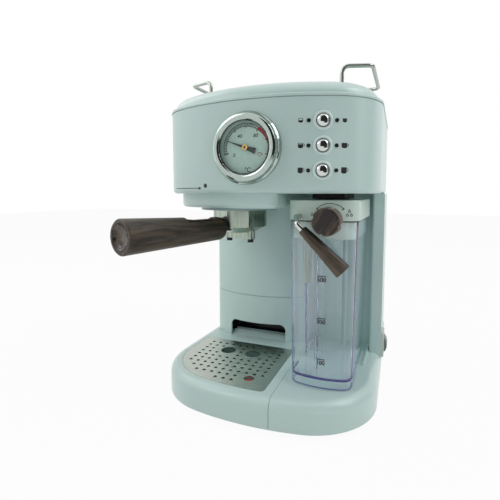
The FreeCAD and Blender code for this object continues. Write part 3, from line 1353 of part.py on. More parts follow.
def make_inner_parts():
    floor = head_bottom + wall + group_flange_thickness
    boiler = upright(boiler_radius, column_x, group_y, floor, floor + boiler_height)
    boiler = boiler.makeFillet(8.0, level_edges(boiler, floor + boiler_height))
    top = pump_bottom + pump_body_height
    pump = fuse([upright(pump_radius, column_x, pump_y, pump_bottom, top),
                 upright(pump_port_radius, column_x, pump_y, pump_bottom - pump_port_length, top +
                         pump_port_length)])
    mounts = []
    for z in (pump_bottom + 10, top - 16):
        block = box(column_x - 9, column_x + 9, pump_y, rear_wall_y, z, z + 6)
        mounts.append(block.cut(upright(pump_radius, column_x, pump_y, 0, head_top)))
    run = socket_bottom - 10
    inlet = bent_rod([Vector(column_x, pump_y, pump_bottom - pump_port_length),
                      Vector(column_x, pump_y, run), Vector(column_x, outlet_y, run),
                      Vector(column_x, outlet_y, socket_bottom)], hose_radius, 5.0)
    outlet = bent_rod([Vector(column_x, pump_y, top + pump_port_length),
                       Vector(column_x, pump_y, floor + 24),
                       Vector(column_x, group_y + boiler_radius - 0.5, floor + 24)], hose_radius, 20.0)
    outlet = outlet.cut(boiler)
    return {
        "boiler": boiler,
        "pump": pump,
        "pump_mounts": Part.makeCompound(mounts),
        "inlet_hose": inlet,
        "outlet_hose": outlet,
    }


def build():
    parts = {}
    for make in (make_base, make_column, make_rear_housing, make_head, make_underside, make_group,
                 make_portafilter, make_handle, make_gauge, make_buttons, make_top, make_drip_tray,
                 make_milk_tank, make_froth_controls, make_steam_port, make_water_tank,
                 make_power_switch, make_inner_parts):
        parts.update(make())
    os.makedirs("parts", exist_ok=True)
    for name, shape in parts.items():
        shape.exportStep("parts/" + name + ".step")


build()
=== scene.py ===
import json
import math

import bpy
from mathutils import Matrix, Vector


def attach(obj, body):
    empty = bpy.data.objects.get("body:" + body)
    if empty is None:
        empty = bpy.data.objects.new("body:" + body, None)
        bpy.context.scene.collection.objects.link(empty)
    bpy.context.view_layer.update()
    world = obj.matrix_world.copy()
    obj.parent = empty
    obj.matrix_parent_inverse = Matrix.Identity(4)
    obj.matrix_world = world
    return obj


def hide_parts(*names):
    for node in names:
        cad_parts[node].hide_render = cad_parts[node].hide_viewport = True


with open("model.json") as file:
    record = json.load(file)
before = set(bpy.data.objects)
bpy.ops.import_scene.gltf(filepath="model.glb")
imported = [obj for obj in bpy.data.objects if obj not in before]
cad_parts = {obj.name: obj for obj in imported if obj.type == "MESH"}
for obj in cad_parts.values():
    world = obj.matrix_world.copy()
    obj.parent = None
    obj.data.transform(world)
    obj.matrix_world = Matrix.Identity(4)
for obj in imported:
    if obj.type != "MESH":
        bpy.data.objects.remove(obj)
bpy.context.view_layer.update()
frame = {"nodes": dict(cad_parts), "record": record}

nodes = frame["nodes"]
mm = 0.001

# Sizes and places are in mm and angles in degrees, as on the drawing of the machine: x goes to its
# right side as seen from the front, y to its back and z up.
to_front = (0, -1, 0)
head_front_y = -132.0
gauge_centre = (0.0, head_front_y, 256.5)
bezel_centre = (0.0, head_front_y, 256.2)
dial_face_y = head_front_y - 1.3
button_x, button_y = 65.5, -119.84
button_heights = {"top": 278.0, "middle": 256.9, "bottom": 235.8}
button_forward = (0.3589, -0.9334, 0.0)
handle_side_angle = 18
handle_root = (-38, -60, 180)
jar_middle_x, jar_top, jar_foot, jar_draft = 61.8, 190.3, 33.3, 0.085
column_seam_z = 92.25

# Flat print is made at this place in front of the machine, and is then laid back on its node.
print_start_y = -150.0
print_rise = 0.08
print_corners = 24

# Corners closer than this are one corner.
weld = 0.001


# ---------------------------------------------------------------- small helpers
def metres(x, y, z):
    return (x * mm, y * mm, z * mm)


def deselect():
    if bpy.context.object and bpy.context.object.mode != "OBJECT":
        bpy.ops.object.mode_set(mode="OBJECT")
    bpy.ops.object.select_all(action="DESELECT")


def pick(piece):
    deselect()
    piece.select_set(True)
    bpy.context.view_layer.objects.active = piece


def edit_all(piece):
    """Opens the piece in edit mode with all of it selected."""
    pick(piece)
    bpy.ops.object.mode_set(mode="EDIT")
    bpy.ops.mesh.select_all(action="SELECT")


def settle(piece):
    """Puts the piece's place, turn and size into its mesh."""
    pick(piece)
    bpy.ops.object.transform_apply(location=True, rotation=True, scale=True)
    return piece


def modify(piece, kind, **values):
    pick(piece)
    modifier = piece.modifiers.new(kind.title(), kind)
    for name, value in values.items():
        setattr(modifier, name, value)
    bpy.ops.object.modifier_apply(modifier=modifier.name)
    return piece


def join(pieces):
    pick(pieces[0])
    for piece in pieces[1:]:
        piece.select_set(True)
    bpy.ops.object.join()
    return bpy.context.object


def copy_moved(piece, shift):
    """A second one of the same piece, with a mesh of its own, moved by shift."""
    pick(piece)
    bpy.ops.object.duplicate()
    bpy.ops.transform.translate(value=Vector(shift) * mm)
    return settle(bpy.context.object)


def add_sheet(centre, size, rotation=(0, 0, 0)):
    """A flat sheet: its centre in metres, and its size along its own two sides in metres."""
    deselect()
    bpy.ops.mesh.primitive_plane_add(size=1, location=centre, rotation=rotation)
    sheet = bpy.context.object
    sheet.scale = (*size, 1)
    return settle(sheet)


def turned(rings, segments=96, filled=True):
    """A turned piece round Z through rings of radius and height."""
    deselect()
    radius, height = rings[0]
    bpy.ops.mesh.primitive_circle_add(vertices=segments, radius=radius * mm,
                                      location=(0, 0, height * mm),
                                      fill_type="NGON" if filled else "NOTHING")
    piece = settle(bpy.context.object)
    edit_all(piece)
    for (radius, height), (next_radius, next_height) in zip(rings, rings[1:]):
        rise = (0, 0, (next_height - height) * mm)
        bpy.ops.mesh.extrude_region_move(TRANSFORM_OT_translate={"value": rise})
        grow = next_radius / radius
        bpy.ops.transform.resize(value=(grow, grow, 1), center_override=(0, 0, next_height * mm))
    bpy.ops.mesh.select_all(action="SELECT")
    bpy.ops.mesh.remove_doubles(threshold=2 * weld * mm)
    bpy.ops.mesh.normals_make_consistent(inside=False)
    bpy.ops.object.mode_set(mode="OBJECT")
    return piece


def stand(piece, where, forward):
    """Turns a piece made round Z so that it looks along forward, and takes it to its place."""
    piece.rotation_mode = "QUATERNION"
    piece.rotation_quaternion = Vector(forward).to_track_quat("Z", "Y")
    piece.location = Vector(where) * mm
    return settle(piece)


def dome(radius, low, rise, steps):
    """The rings of a rounded cap: its rim at the height low, its crown a rise above."""
    nearly_upright = 88
    turns = [math.radians(nearly_upright) * i / steps for i in range(steps + 1)]
    return [(radius * math.cos(turn), low + rise * math.sin(turn)) for turn in turns]


def smooth(piece, angle=35):
    pick(piece)
    bpy.ops.object.shade_smooth_by_angle(angle=math.radians(angle))
    return piece


def place(piece, name, body, material, stands_for=()):
    """Names a finished piece, gives it its material and lets it ride on its body."""
    piece.name = name
    piece.data.name = name
    piece.data.materials.clear()
    piece.data.materials.append(material)
    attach(piece, body)
    if stands_for:
        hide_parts(*stands_for)
    return piece


def merged_copy(node):
    """A copy of a CAD node to be shaped further."""
    piece = nodes[node].copy()
    piece.data = nodes[node].data.copy()
    bpy.context.scene.collection.objects.link(piece)
    edit_all(piece)
    bpy.ops.mesh.remove_doubles(threshold=weld * mm)
    bpy.ops.object.mode_set(mode="OBJECT")
    return piece


# ---------------------------------------------------------------- thin printed marks
def flat_box(x, z, width, height, y=print_start_y, turn=0.0):
    """A thin printed bar that faces the front."""
    centre = metres(x, y, z)
    piece = add_sheet(centre, (width * mm, height * mm), (math.radians(90), 0, 0))
    if turn:
        bpy.ops.transform.rotate(value=math.radians(turn), orient_axis="Y",
                                 center_override=centre)
        settle(piece)
    return piece


def flat_disc(x, z, wide, high, y=print_start_y, hollow=0.0):
    """A printed spot, or a ring where it is hollow by more than nothing."""
    deselect()
    bpy.ops.mesh.primitive_circle_add(vertices=print_corners, radius=1, fill_type="NGON",
                                      location=metres(x, y, z),
                                      rotation=(math.radians(90), 0, 0))
    piece = bpy.context.object
    piece.scale = (wide / 2 * mm, high / 2 * mm, 1)
    settle(piece)
    if hollow:
        edit_all(piece)
        bpy.ops.mesh.inset(thickness=hollow * mm)
        bpy.ops.mesh.delete(type="FACE")
        bpy.ops.object.mode_set(mode="OBJECT")
    return piece


def flat_drop(x, z, wide, hollow=0.0):
    """A printed drop: a round spot or ring with a drawn-out top."""
    near_top, drawn_out = 0.01, wide * 0.6
    piece = flat_disc(x, z, wide, wide, hollow=hollow)
    top = max(corner.co.z for corner in piece.data.vertices)
    for corner in piece.data.vertices:
        corner.select = corner.co.z > top - near_top * mm
    pick(piece)
    bpy.ops.object.mode_set(mode="EDIT")
    bpy.ops.transform.translate(value=(0, 0, drawn_out * mm))
    bpy.ops.object.mode_set(mode="OBJECT")
    return piece


def flat_arc(x, z, inner, outer, start, sweep, steps, y=print_start_y):
    """A printed arc about (x, z), from the angle start over sweep."""
    centre = metres(x, y, z)
    middle = (inner + outer) / 2
    thinnest = 0.0000001
    piece = add_sheet(metres(x + middle, y, z), ((outer - inner) * mm, thinnest))
    edit_all(piece)
    bpy.ops.mesh.remove_doubles(threshold=weld * mm)
    bpy.ops.mesh.select_all(action="SELECT")
    bpy.ops.transform.rotate(value=math.radians(start), orient_axis="Y", center_override=centre)
    bpy.ops.mesh.spin(steps=steps, angle=math.radians(sweep), center=centre, axis=(0, 1, 0))
    bpy.ops.object.mode_set(mode="OBJECT")
    return piece


def flat_ticks(x, z, inner, outer, width, start, sweep, gaps, y):
    """Equal printed ticks about (x, z)."""
    centre = metres(x, y, z)
    middle = (inner + outer) / 2
    piece = flat_box(x + middle, z, outer - inner, width, y)
    edit_all(piece)
    bpy.ops.transform.rotate(value=math.radians(start), orient_axis="Y", center_override=centre)
    bpy.ops.mesh.spin(steps=gaps, angle=math.radians(sweep), dupli=True, center=centre,
                      axis=(0, 1, 0))
    bpy.ops.object.mode_set(mode="OBJECT")
    return piece


def figures(words, x, z, height, y, lean=0.0, bold=0.08):
    """Printed figures of the given height, their middle at (x, z)."""
    body_per_height = 1.4
    deselect()
    bpy.ops.object.text_add(location=(0, 0, 0))
    piece = bpy.context.object
    piece.data.body = words
    piece.data.size = height * body_per_height * mm
    piece.data.shear = lean
    piece.data.offset = bold * mm
    piece.data.align_x = "CENTER"
    piece.data.align_y = "CENTER"
    pick(piece)
    bpy.ops.object.convert(target="MESH")
    piece = bpy.context.object
    piece.rotation_euler = (math.radians(90), 0, 0)
    piece.location = metres(x, y, z)
    return settle(piece)


def cup_sign(x, z, wide, high, fill, handle):
    """A small printed cup: rim, sides, what is in it, and a handle."""
    line = wide * 0.1
    parts = [flat_box(x, z + high * 0.46, wide, high * 0.1),
             flat_box(x - wide * 0.45, z + high * 0.08, line, high * 0.8),
             flat_box(x + wide * 0.45, z + high * 0.08, line, high * 0.8),
             flat_box(x, z + high * (fill * 0.4 - 0.33), wide * 0.9, high * 0.8 * fill),
             flat_disc(x, z - high * 0.3, wide * 0.9, high * 0.4)]
    if handle:
        parts.append(flat_disc(x + wide * 0.6, z + high * 0.1, wide * 0.42, high * 0.5,
                               hollow=line))
    return join(parts)


def cup_outline(x, z, y):
    """The small open cup on the dial."""
    return join([flat_disc(x, z - 0.2, 3.6, 3.0, y, hollow=0.35),
                 flat_disc(x + 2.1, z, 1.6, 1.8, y, hollow=0.3),
                 flat_box(x, z + 1.3, 3.4, 0.3, y)])


def lay_on(piece, node, cuts):
    """Lays flat print on the front of a CAD node, a hair proud of it."""
    edit_all(piece)
    if cuts:
        bpy.ops.mesh.subdivide(number_cuts=cuts)
    bpy.ops.object.mode_set(mode="OBJECT")
    modify(piece, "SHRINKWRAP", target=nodes[node], wrap_method="PROJECT", use_project_y=True,
           use_positive_direction=True, use_negative_direction=True)
    bpy.ops.transform.translate(value=(0, -print_rise * mm, 0))
    return settle(piece)


# ---------------------------------------------------------------- material tools
def new_material(name):
    material = bpy.data.materials.new(name)
    material.use_nodes = True
    tree = material.node_tree
    return material, tree, tree.nodes["Principled BSDF"]


def add(tree, kind, **inputs):
    node = tree.nodes.new(kind)
    for name, value in inputs.items():
        node.inputs[name.replace("_", " ")].default_value = value
    return node


def link(tree, source, target):
    tree.links.new(source, target)


def feed(tree, value, target):
    """Gives an input its value, which is a plain number or another node's output."""
    if isinstance(value, bpy.types.NodeSocket):
        link(tree, value, target)
    else:
        target.default_value = value


def math_node(tree, operation, first, second):
    node = tree.nodes.new("ShaderNodeMath")
    node.operation = operation
    feed(tree, first, node.inputs[0])
    feed(tree, second, node.inputs[1])
    return node.outputs[0]


def vector_node(tree, operation, first, second):
    node = tree.nodes.new("ShaderNodeVectorMath")
    node.operation = operation
    feed(tree, first, node.inputs[0])
    feed(tree, second, node.inputs["Scale"] if operation == "SCALE" else node.inputs[1])
    return node.outputs[0]


def seen_by(tree, *rays):
    """1 for the named kinds of light ray and 0 for all others."""
    path = tree.nodes.new("ShaderNodeLightPath")
    seen = path.outputs["Is %s Ray" % rays[0]]
    for ray in rays[1:]:
        seen = math_node(tree, "MAXIMUM", seen, path.outputs["Is %s Ray" % ray])
    return seen


def show_mixed(tree, share, first, second, output):
    """Shows the first shader, and the second one by its share."""
    mix = tree.nodes.new("ShaderNodeMixShader")
    link(tree, share, mix.inputs[0])
    link(tree, first.outputs[0], mix.inputs[1])
    link(tree, second.outputs[0], mix.inputs[2])
    link(tree, mix.outputs[0], tree.nodes[output].inputs["Surface"])


def relief_on(tree, shader, height, strength, distance):
    relief = add(tree, "ShaderNodeBump", Strength=strength, Distance=distance)
    link(tree, height, relief.inputs["Height"])
    link(tree, relief.outputs["Normal"], shader.inputs["Normal"])


def fine_grain_group():
    """Fine mottling of a surface: a tone round 1 and a height, from the piece's own place."""
    group = bpy.data.node_groups.new("fine grain", "ShaderNodeTree")
    for label, kind, value in (("Vector", "NodeSocketVector", (0, 0, 0)),
                               ("Scale", "NodeSocketFloat", 600.0),
                               ("Stretch", "NodeSocketVector", (1, 1, 1)),
                               ("Low", "NodeSocketFloat", 0.9),
                               ("High", "NodeSocketFloat", 1.1)):
        socket = group.interface.new_socket(name=label, in_out="INPUT", socket_type=kind)
        socket.default_value = value
    for label in ("Tone", "Height"):
        group.interface.new_socket(name=label, in_out="OUTPUT", socket_type="NodeSocketFloat")
    enter, leave = group.nodes.new("NodeGroupInput"), group.nodes.new("NodeGroupOutput")
    stretched = vector_node(group, "MULTIPLY", enter.outputs["Vector"], enter.outputs["Stretch"])
    noise = add(group, "ShaderNodeTexNoise", Detail=3.0, Roughness=0.55)
    link(group, stretched, noise.inputs["Vector"])
    link(group, enter.outputs["Scale"], noise.inputs["Scale"])
    spread = add(group, "ShaderNodeMapRange", From_Min=0.3, From_Max=0.7)
    link(group, noise.outputs["Fac"], spread.inputs["Value"])
    link(group, enter.outputs["Low"], spread.inputs["To Min"])
    link(group, enter.outputs["High"], spread.inputs["To Max"])
    link(group, spread.outputs["Result"], leave.inputs["Tone"])
    link(group, noise.outputs["Fac"], leave.inputs["Height"])
    return group


grain = fine_grain_group()


def own_place(tree, turn=(0, 0, 0)):
    """The piece's own coordinates, turned so that a pattern follows it."""
    coordinates = tree.nodes.new("ShaderNodeTexCoord")
    mapping = add(tree, "ShaderNodeMapping", Rotation=turn)
    mapping.vector_type = "POINT"
    link(tree, coordinates.outputs["Object"], mapping.inputs["Vector"])
    return mapping.outputs["Vector"]


def use_grain(tree, **inputs):
    """The fine grain on the piece's own coordinates."""
    node = tree.nodes.new("ShaderNodeGroup")
    node.node_tree = grain
    for name, value in inputs.items():
        node.inputs[name].default_value = value
    link(tree, own_place(tree), node.inputs["Vector"])
    return node


def tinted(tree, colour, tone, amount):
    """The colour made a little lighter and darker by the tone."""
    mix = tree.nodes.new("ShaderNodeMix")
    mix.data_type = "RGBA"
    mix.blend_type = "MULTIPLY"
    mix.inputs["Factor"].default_value = amount
    mix.inputs["A"].default_value = (*colour, 1)
    link(tree, tone, mix.inputs["B"])
    return mix.outputs["Result"]


def plain_surface(name, colour, roughness, scale=700.0, bump=0.02, metallic=0.0, amount=0.5,
                  stretch=(1, 1, 1), spread=0.12, coat=0.0):
    """A moulded, painted or metal surface with fine mottling in colour, gloss and height."""
    material, tree, shader = new_material(name)
    shader.inputs["Metallic"].default_value = metallic
    shader.inputs["Coat Weight"].default_value = coat
    shader.inputs["Coat Roughness"].default_value = 0.15
    surface = use_grain(tree, Scale=scale, Stretch=stretch, Low=1 - spread, High=1 + spread)
    tone = surface.outputs["Tone"]
    link(tree, tinted(tree, colour, tone, amount), shader.inputs["Base Color"])
    link(tree, math_node(tree, "MULTIPLY", tone, roughness), shader.inputs["Roughness"])
    relief_on(tree, shader, surface.outputs["Height"], bump, 0.001)
    return material


def paler_behind(tree, colour, face_y, fade=0.8, amount=0.75, pale=(0.165, 0.118, 0.084, 1)):
    """The colour as it is on the face of a piece, and made paler on its sides behind the face."""
    coordinates = tree.nodes.new("ShaderNodeTexCoord")
    parted = tree.nodes.new("ShaderNodeSeparateXYZ")
    link(tree, coordinates.outputs["Object"], parted.inputs["Vector"])
    behind = add(tree, "ShaderNodeMapRange", From_Min=face_y * mm, From_Max=(face_y + fade) * mm)
    link(tree, parted.outputs["Y"], behind.inputs["Value"])
    paler = tree.nodes.new("ShaderNodeMix")
    paler.data_type = "RGBA"
    paler.inputs["B"].default_value = pale
    share = math_node(tree, "MULTIPLY", behind.outputs["Result"], amount)
    link(tree, share, paler.inputs["Factor"])
    link(tree, colour, paler.inputs["A"])
    return paler.outputs["Result"]


def walnut(name, turn, light=(0.095, 0.068, 0.043), dark=(0.014, 0.009, 0.006),
           gloss_range=(0.58, 0.42), fine=420.0, figure_size=90.0, edges=(0.42, 0.60),
           face_y=None):
    """Dark straight-grained wood, its grain along the piece, and paler behind its face at y."""
    bend_size, drawn_along = 0.012, (1, 0.05, 1)
    material, tree, shader = new_material(name)
    where = own_place(tree, turn)
    warp = add(tree, "ShaderNodeTexNoise", Scale=14.0, Detail=2.0)
    link(tree, where, warp.inputs["Vector"])
    bend = vector_node(tree, "SCALE", warp.outputs["Color"], bend_size)
    along = vector_node(tree, "MULTIPLY", vector_node(tree, "ADD", where, bend), drawn_along)
    streaks = add(tree, "ShaderNodeTexNoise", Scale=fine, Detail=4.0, Roughness=0.6)
    link(tree, along, streaks.inputs["Vector"])
    figure = add(tree, "ShaderNodeTexNoise", Scale=figure_size, Detail=2.0)
    link(tree, along, figure.inputs["Vector"])
    both = math_node(tree, "ADD", streaks.outputs["Fac"], figure.outputs["Fac"])
    ramp = tree.nodes.new("ShaderNodeValToRGB")
    for stop, position, colour in zip(ramp.color_ramp.elements, edges, (dark, light)):
        stop.position = position
        stop.color = (*colour, 1)
    link(tree, math_node(tree, "MULTIPLY", both, 0.5), ramp.inputs["Fac"])
    colour = ramp.outputs["Color"]
    if face_y is not None:
        colour = paler_behind(tree, colour, face_y)
    link(tree, colour, shader.inputs["Base Color"])
    rough, shiny = gloss_range
    gloss = add(tree, "ShaderNodeMapRange", To_Min=rough, To_Max=shiny)
    link(tree, streaks.outputs["Fac"], gloss.inputs["Value"])
    link(tree, gloss.outputs["Result"], shader.inputs["Roughness"])
    relief_on(tree, shader, streaks.outputs["Fac"], 0.12, 0.0006)
    return material


def clear_plastic(name, tint, depth_tint, depth, roughness=0.02, ior=1.045, coat=0.7):
    """Clear moulded plastic: what is behind shows through, and takes the depth tint on the way."""
    material, tree, shader = new_material(name)
    shader.inputs["Transmission Weight"].default_value = 1.0
    shader.inputs["IOR"].default_value = ior
    shader.inputs["Coat Weight"].default_value = coat
    shader.inputs["Coat Roughness"].default_value = 0.04
    tone = use_grain(tree, Scale=160.0, Low=0.9, High=1.0).outputs["Tone"]
    link(tree, tinted(tree, tint, tone, 0.2), shader.inputs["Base Color"])
    link(tree, math_node(tree, "MULTIPLY", tone, roughness), shader.inputs["Roughness"])
    through = add(tree, "ShaderNodeBsdfTransparent", Color=(0.95, 0.965, 0.98, 1))
    show_mixed(tree, seen_by(tree, "Shadow", "Diffuse"), shader, through, "Material Output")
    inside = add(tree, "ShaderNodeVolumeAbsorption", Color=(*depth_tint, 1), Density=depth)
    link(tree, inside.outputs["Volume"], tree.nodes["Material Output"].inputs["Volume"])
    return material


# ---------------------------------------------------------------- finishes
paint = dict(scale=900, bump=0.012, amount=0.25)
shell_paint = plain_surface("shell paint", (0.60, 0.765, 0.725), 0.32, spread=0.06, coat=0.2,
                            **paint)
# Painted highlight: the rings are body colour, and this lighter copy of the shell paint stands in
# for the light on them.
highlit_ring_paint = plain_surface("button ring paint, painted highlight", (0.72, 0.86, 0.83), 0.3, scale=900, bump=0.01,
                           amount=0.25, spread=0.06, coat=0.3)
lid_paint = plain_surface("lid paint", (0.64, 0.775, 0.70), 0.30, spread=0.06, coat=0.2, **paint)
# Painted shade: the trim ring is body colour, and this darker copy of the shell paint stands in for
# the shade on it.
shaded_trim_paint = plain_surface("trim ring paint, painted shade", (0.34, 0.455, 0.45), 0.35, **paint)
# Painted light and shade: a mid grey for the seam under the top cover.
seam_painted_light = plain_surface("seam, painted light and shade", (0.36, 0.38, 0.345), 0.5, scale=600)

mirror = dict(metallic=1.0, bump=0.0, scale=300)
chrome = plain_surface("chrome plate", (0.60, 0.63, 0.605), 0.06, **mirror)
# Painted reflection: the bezel's chrome is darkened and tinted mint for the mint body it mirrors.
bezel_chrome_reflection_tint = plain_surface("bezel chrome, painted reflection", (0.42, 0.49, 0.455), 0.05, **mirror)
# Painted reflection: the cast metal is darker and greener than bare metal, for the dark and mint
# surroundings it mirrors.
cast_with_painted_reflection = plain_surface("polished casting, painted reflection", (0.31, 0.37, 0.31), 0.2, metallic=1.0, bump=0.01,
                              stretch=(1, 1, 0.04), amount=1.0, spread=0.22)
# Painted shade: the rail wire is darkened so that its greenish-grey shading shows.
rail_steel_painted_shade = plain_surface("rail wire, painted shade", (0.42, 0.46, 0.42), 0.32, metallic=1.0, bump=0.01,
                           scale=400)
brass = plain_surface("turned brass", (0.50, 0.36, 0.13), 0.25, metallic=1.0, scale=400)


def make_brushed_steel():
    """Steel brushed from side to side, which draws its reflections out along the machine."""
    steel = plain_surface("brushed steel", (0.50, 0.54, 0.49), 0.34, metallic=1.0, bump=0.03,
                          scale=2200, stretch=(0.02, 1, 1), spread=0.22, amount=0.8)
    tree = steel.node_tree
    shader = tree.nodes["Principled BSDF"]
    shader.inputs["Anisotropic"].default_value = 0.75
    across = add(tree, "ShaderNodeCombineXYZ", X=1.0)
    link(tree, across.outputs[0], shader.inputs["Tangent"])
    return steel


brushed_steel = make_brushed_steel()

black_gloss = plain_surface("glossy black", (0.016, 0.018, 0.02), 0.12, bump=0.0, scale=400)
black_plastic = plain_surface("black plastic", (0.012, 0.012, 0.013), 0.42, bump=0.05, scale=1500)
rubber = plain_surface("rubber", (0.02, 0.02, 0.02), 0.7, bump=0.1, scale=1800)
pale_plastic = plain_surface("pale plastic", (0.62, 0.68, 0.60), 0.32, scale=800, bump=0.01)
tube_plastic = plain_surface("tube plastic", (0.43, 0.53, 0.46), 0.35, scale=900, bump=0.03,
                             amount=1.0, spread=0.3, stretch=(1, 1, 0.02))
pickup_plastic = plain_surface("pickup tube plastic", (0.36, 0.47, 0.49), 0.35, scale=800,
                               bump=0.01)
grey_plastic = plain_surface("grey plastic", (0.18, 0.23, 0.21), 0.4, scale=900)
green_board = plain_surface("board laminate", (0.02, 0.12, 0.06), 0.4, scale=600)
float_red = plain_surface("float red", (0.50, 0.03, 0.025), 0.38)
dial_white = plain_surface("dial face", (0.56, 0.76, 0.66), 0.5, scale=500)
indicator = plain_surface("indicator lens", (0.02, 0.02, 0.022), 0.22)
black_print = plain_surface("black print", (0.02, 0.02, 0.022), 0.5, scale=900)
brown_print = plain_surface("grey-brown print", (0.035, 0.03, 0.035), 0.5, scale=900)
red_print = plain_surface("red print", (0.34, 0.028, 0.03), 0.5, scale=900)

clear = clear_plastic("clear plastic", (1.0, 1.0, 1.0), (0.30, 0.45, 0.97), 10.0)
# Painted refraction: violet-blue beads for the lines that light makes along the clear plastic's
# edges.
painted_edge_refraction = plain_surface("plastic edge, painted refraction", (0.06, 0.055, 0.24), 0.15, scale=300, bump=0.0)
painted_corner_refraction = plain_surface("plastic corner, painted refraction", (0.17, 0.18, 0.42), 0.15, scale=300, bump=0.0)
tank_clear = clear_plastic("smoky tank plastic", (0.72, 0.78, 0.80), (0.3, 0.5, 0.8), 20.0)
lens = clear_plastic("gauge lens", (1.0, 1.0, 1.0), (0.7, 0.9, 0.8), 10.0, roughness=0.01,
                     ior=1.06, coat=0.05)

handle_turn = (0, 0, math.radians(handle_side_angle))
wood_handle = walnut("walnut handle", handle_turn)
wood_cap = walnut("walnut end cap", handle_turn, gloss_range=(0.24, 0.16),
                  light=(0.15, 0.11, 0.075))
wood_knob = walnut("walnut knob", (math.radians(-90), 0, math.radians(30)),
                   light=(0.155, 0.102, 0.065), dark=(0.008, 0.005, 0.0035), fine=210.0,
                   figure_size=60.0, edges=(0.44, 0.58), face_y=-124.3)
wood_grip = walnut("walnut grip", (math.radians(-90), 0, math.radians(134.5)),
                   light=(0.115, 0.082, 0.05), dark=(0.010, 0.007, 0.005), fine=380.0,
                   figure_size=80.0, edges=(0.44, 0.57))

finish_of_slot = {
    "housing_paint": shell_paint, "chrome": chrome, "steel": brushed_steel,
    "cast_alloy": cast_with_painted_reflection, "wood": wood_handle, "clear_plastic": clear,
    "black_plastic": black_plastic, "rubber": rubber, "dial_print": dial_white,
    "indicator": indicator, "board": green_board, "brass": brass, "pale_plastic": pale_plastic,
}
own_finish = {
    "gauge_lens": lens, "gauge_pointer": black_print, "froth_knob": wood_knob,
    "lever_grip": wood_grip, "handle_end_cap": wood_cap, "drip_float": float_red,
    "power_rocker": grey_plastic, "cup_rail_left": rail_steel_painted_shade, "cup_rail_right": rail_steel_painted_shade,
    "milk_lid": lid_paint, "group_trim_ring": shaded_trim_paint, "dispensing_tube": tube_plastic,
    "milk_pickup_tube": pickup_plastic, "water_tank": tank_clear,
}
for part in frame["record"]["subparts"]:
    piece = nodes[part["node"]]
    finish = own_finish.get(part["node"], finish_of_slot[part["material_slot"]])
    piece.data.materials.clear()
    piece.data.materials.append(finish)


# ---------------------------------------------------------------- gauge
# The scale runs over the dial from its start at the lower left, clockwise.
scale_start, scale_line_sweep, scale_tick_sweep = 196, -137, -143.2
small_gaps, large_gaps, dial_print_rise = 36, 4, 0.06
band_inner, band_outer, band_start, band_sweep = 18.5, 21.7, 55, -73


def make_bezel():
    """The bezel with its rolled front, and a dark ring inside it that is painted shade at the
    bezel's inner edge.
    """
    outer, inner, back = 32.3, 28.6, -6.0
    roll_radius, roll_half_width, roll_low, roll_rise, roll_steps = 26.75, 3.1, 5.9, 1.9, 12
    turns = [math.radians(180 * i / roll_steps) for i in range(roll_steps + 1)]
    roll = [(roll_radius + roll_half_width * math.cos(turn), roll_low + roll_rise * math.sin(turn))
            for turn in turns]
    outside = [(outer, -2.0), (outer, 0.9), (32.1, 1.5), (31.6, 2.1), (31.0, 2.7), (30.5, 3.6),
               (30.1, 4.7)]
    inside = [(23.65, 5.85), (inner, 5.85), (inner, back), (outer, back), (outer, -2.0)]
    bezel = turned(outside + roll + inside, segments=128, filled=False)
    bezel = smooth(stand(bezel, bezel_centre, to_front), 50)
    place(bezel, "gauge_bezel_turned", "housing", bezel_chrome_reflection_tint, ["gauge_bezel"])
    # Painted shade: a glossy black ring where the inner edge of the bezel is in shade.
    inner_shade_ring = turned([(23.7, 5.95), (23.7, 6.5), (23.3, 6.5), (22.8, 5.95), (23.7, 5.95)],
                    filled=False)
    inner_shade_ring = smooth(stand(inner_shade_ring, gauge_centre, to_front))
    place(inner_shade_ring, "gauge_inner_painted_shade", "housing", black_gloss)


def make_dial_print():
    x, _, z = gauge_centre
    y = dial_face_y - dial_print_rise
    band_mark_reach, band_mark_length, band_mark_width = 20.0, 3.4, 0.7
    band_marks = [flat_box(x + band_mark_reach, z + up, band_mark_length, band_mark_width, y,
                           turn=turn) for up, turn in ((6.6, 18), (-6.4, -18))]
    scale = [flat_arc(x, z, inner, outer, scale_start, scale_line_sweep, small_gaps, y)
             for inner, outer in ((21.0, 21.5), (18.2, 18.6))]
    scale += [flat_ticks(x, z, inner, outer, width, scale_start, scale_tick_sweep, gaps, y)
              for inner, outer, width, gaps in ((18.3, 21.4, 0.62, small_gaps),
                                                (17.0, 21.5, 0.8, large_gaps))]
    place(join(scale + band_marks), "dial_scale", "housing", black_print)
    band = flat_arc(x, z, band_inner, band_outer, band_start, band_sweep, steps=24, y=y - 0.02)
    band = join([narrow(band, x, z), cup_outline(13.2, 250.3, y)])
    place(band, "dial_red_band", "housing", red_print)
    numbers = [figures(words, number_x, number_z, height, y, lean)
               for words, number_x, number_z, height, lean in (
                   ("0", -11.2, 249.9, 3.2, 0.2), ("40", -5.9, 266.6, 3.2, 0.2),
                   ("80", 9.3, 266.4, 3.2, 0.2), ("\u00b0C", 1.6, 236.8, 4.0, 0.1))]
    place(join(numbers), "dial_numbers", "housing", brown_print)


def narrow(band, x, z):
    """Tapers the red band: its inner edge comes out towards the end of the scale."""
    taper, taper_start, taper_end = 2.2, 50, 5
    band_middle = 20
    for corner in band.data.vertices:
        across, up = corner.co.x / mm - x, corner.co.z / mm - z
        radius, angle = math.hypot(across, up), math.degrees(math.atan2(up, across))
        if radius < band_middle:
            done = min(1.0, max(0.0, (taper_start - angle) / (taper_start - taper_end)))
            grown = band_inner + taper * done
            corner.co.x = (x + across * grown / radius) * mm
            corner.co.z = (z + up * grown / radius) * mm
    return band


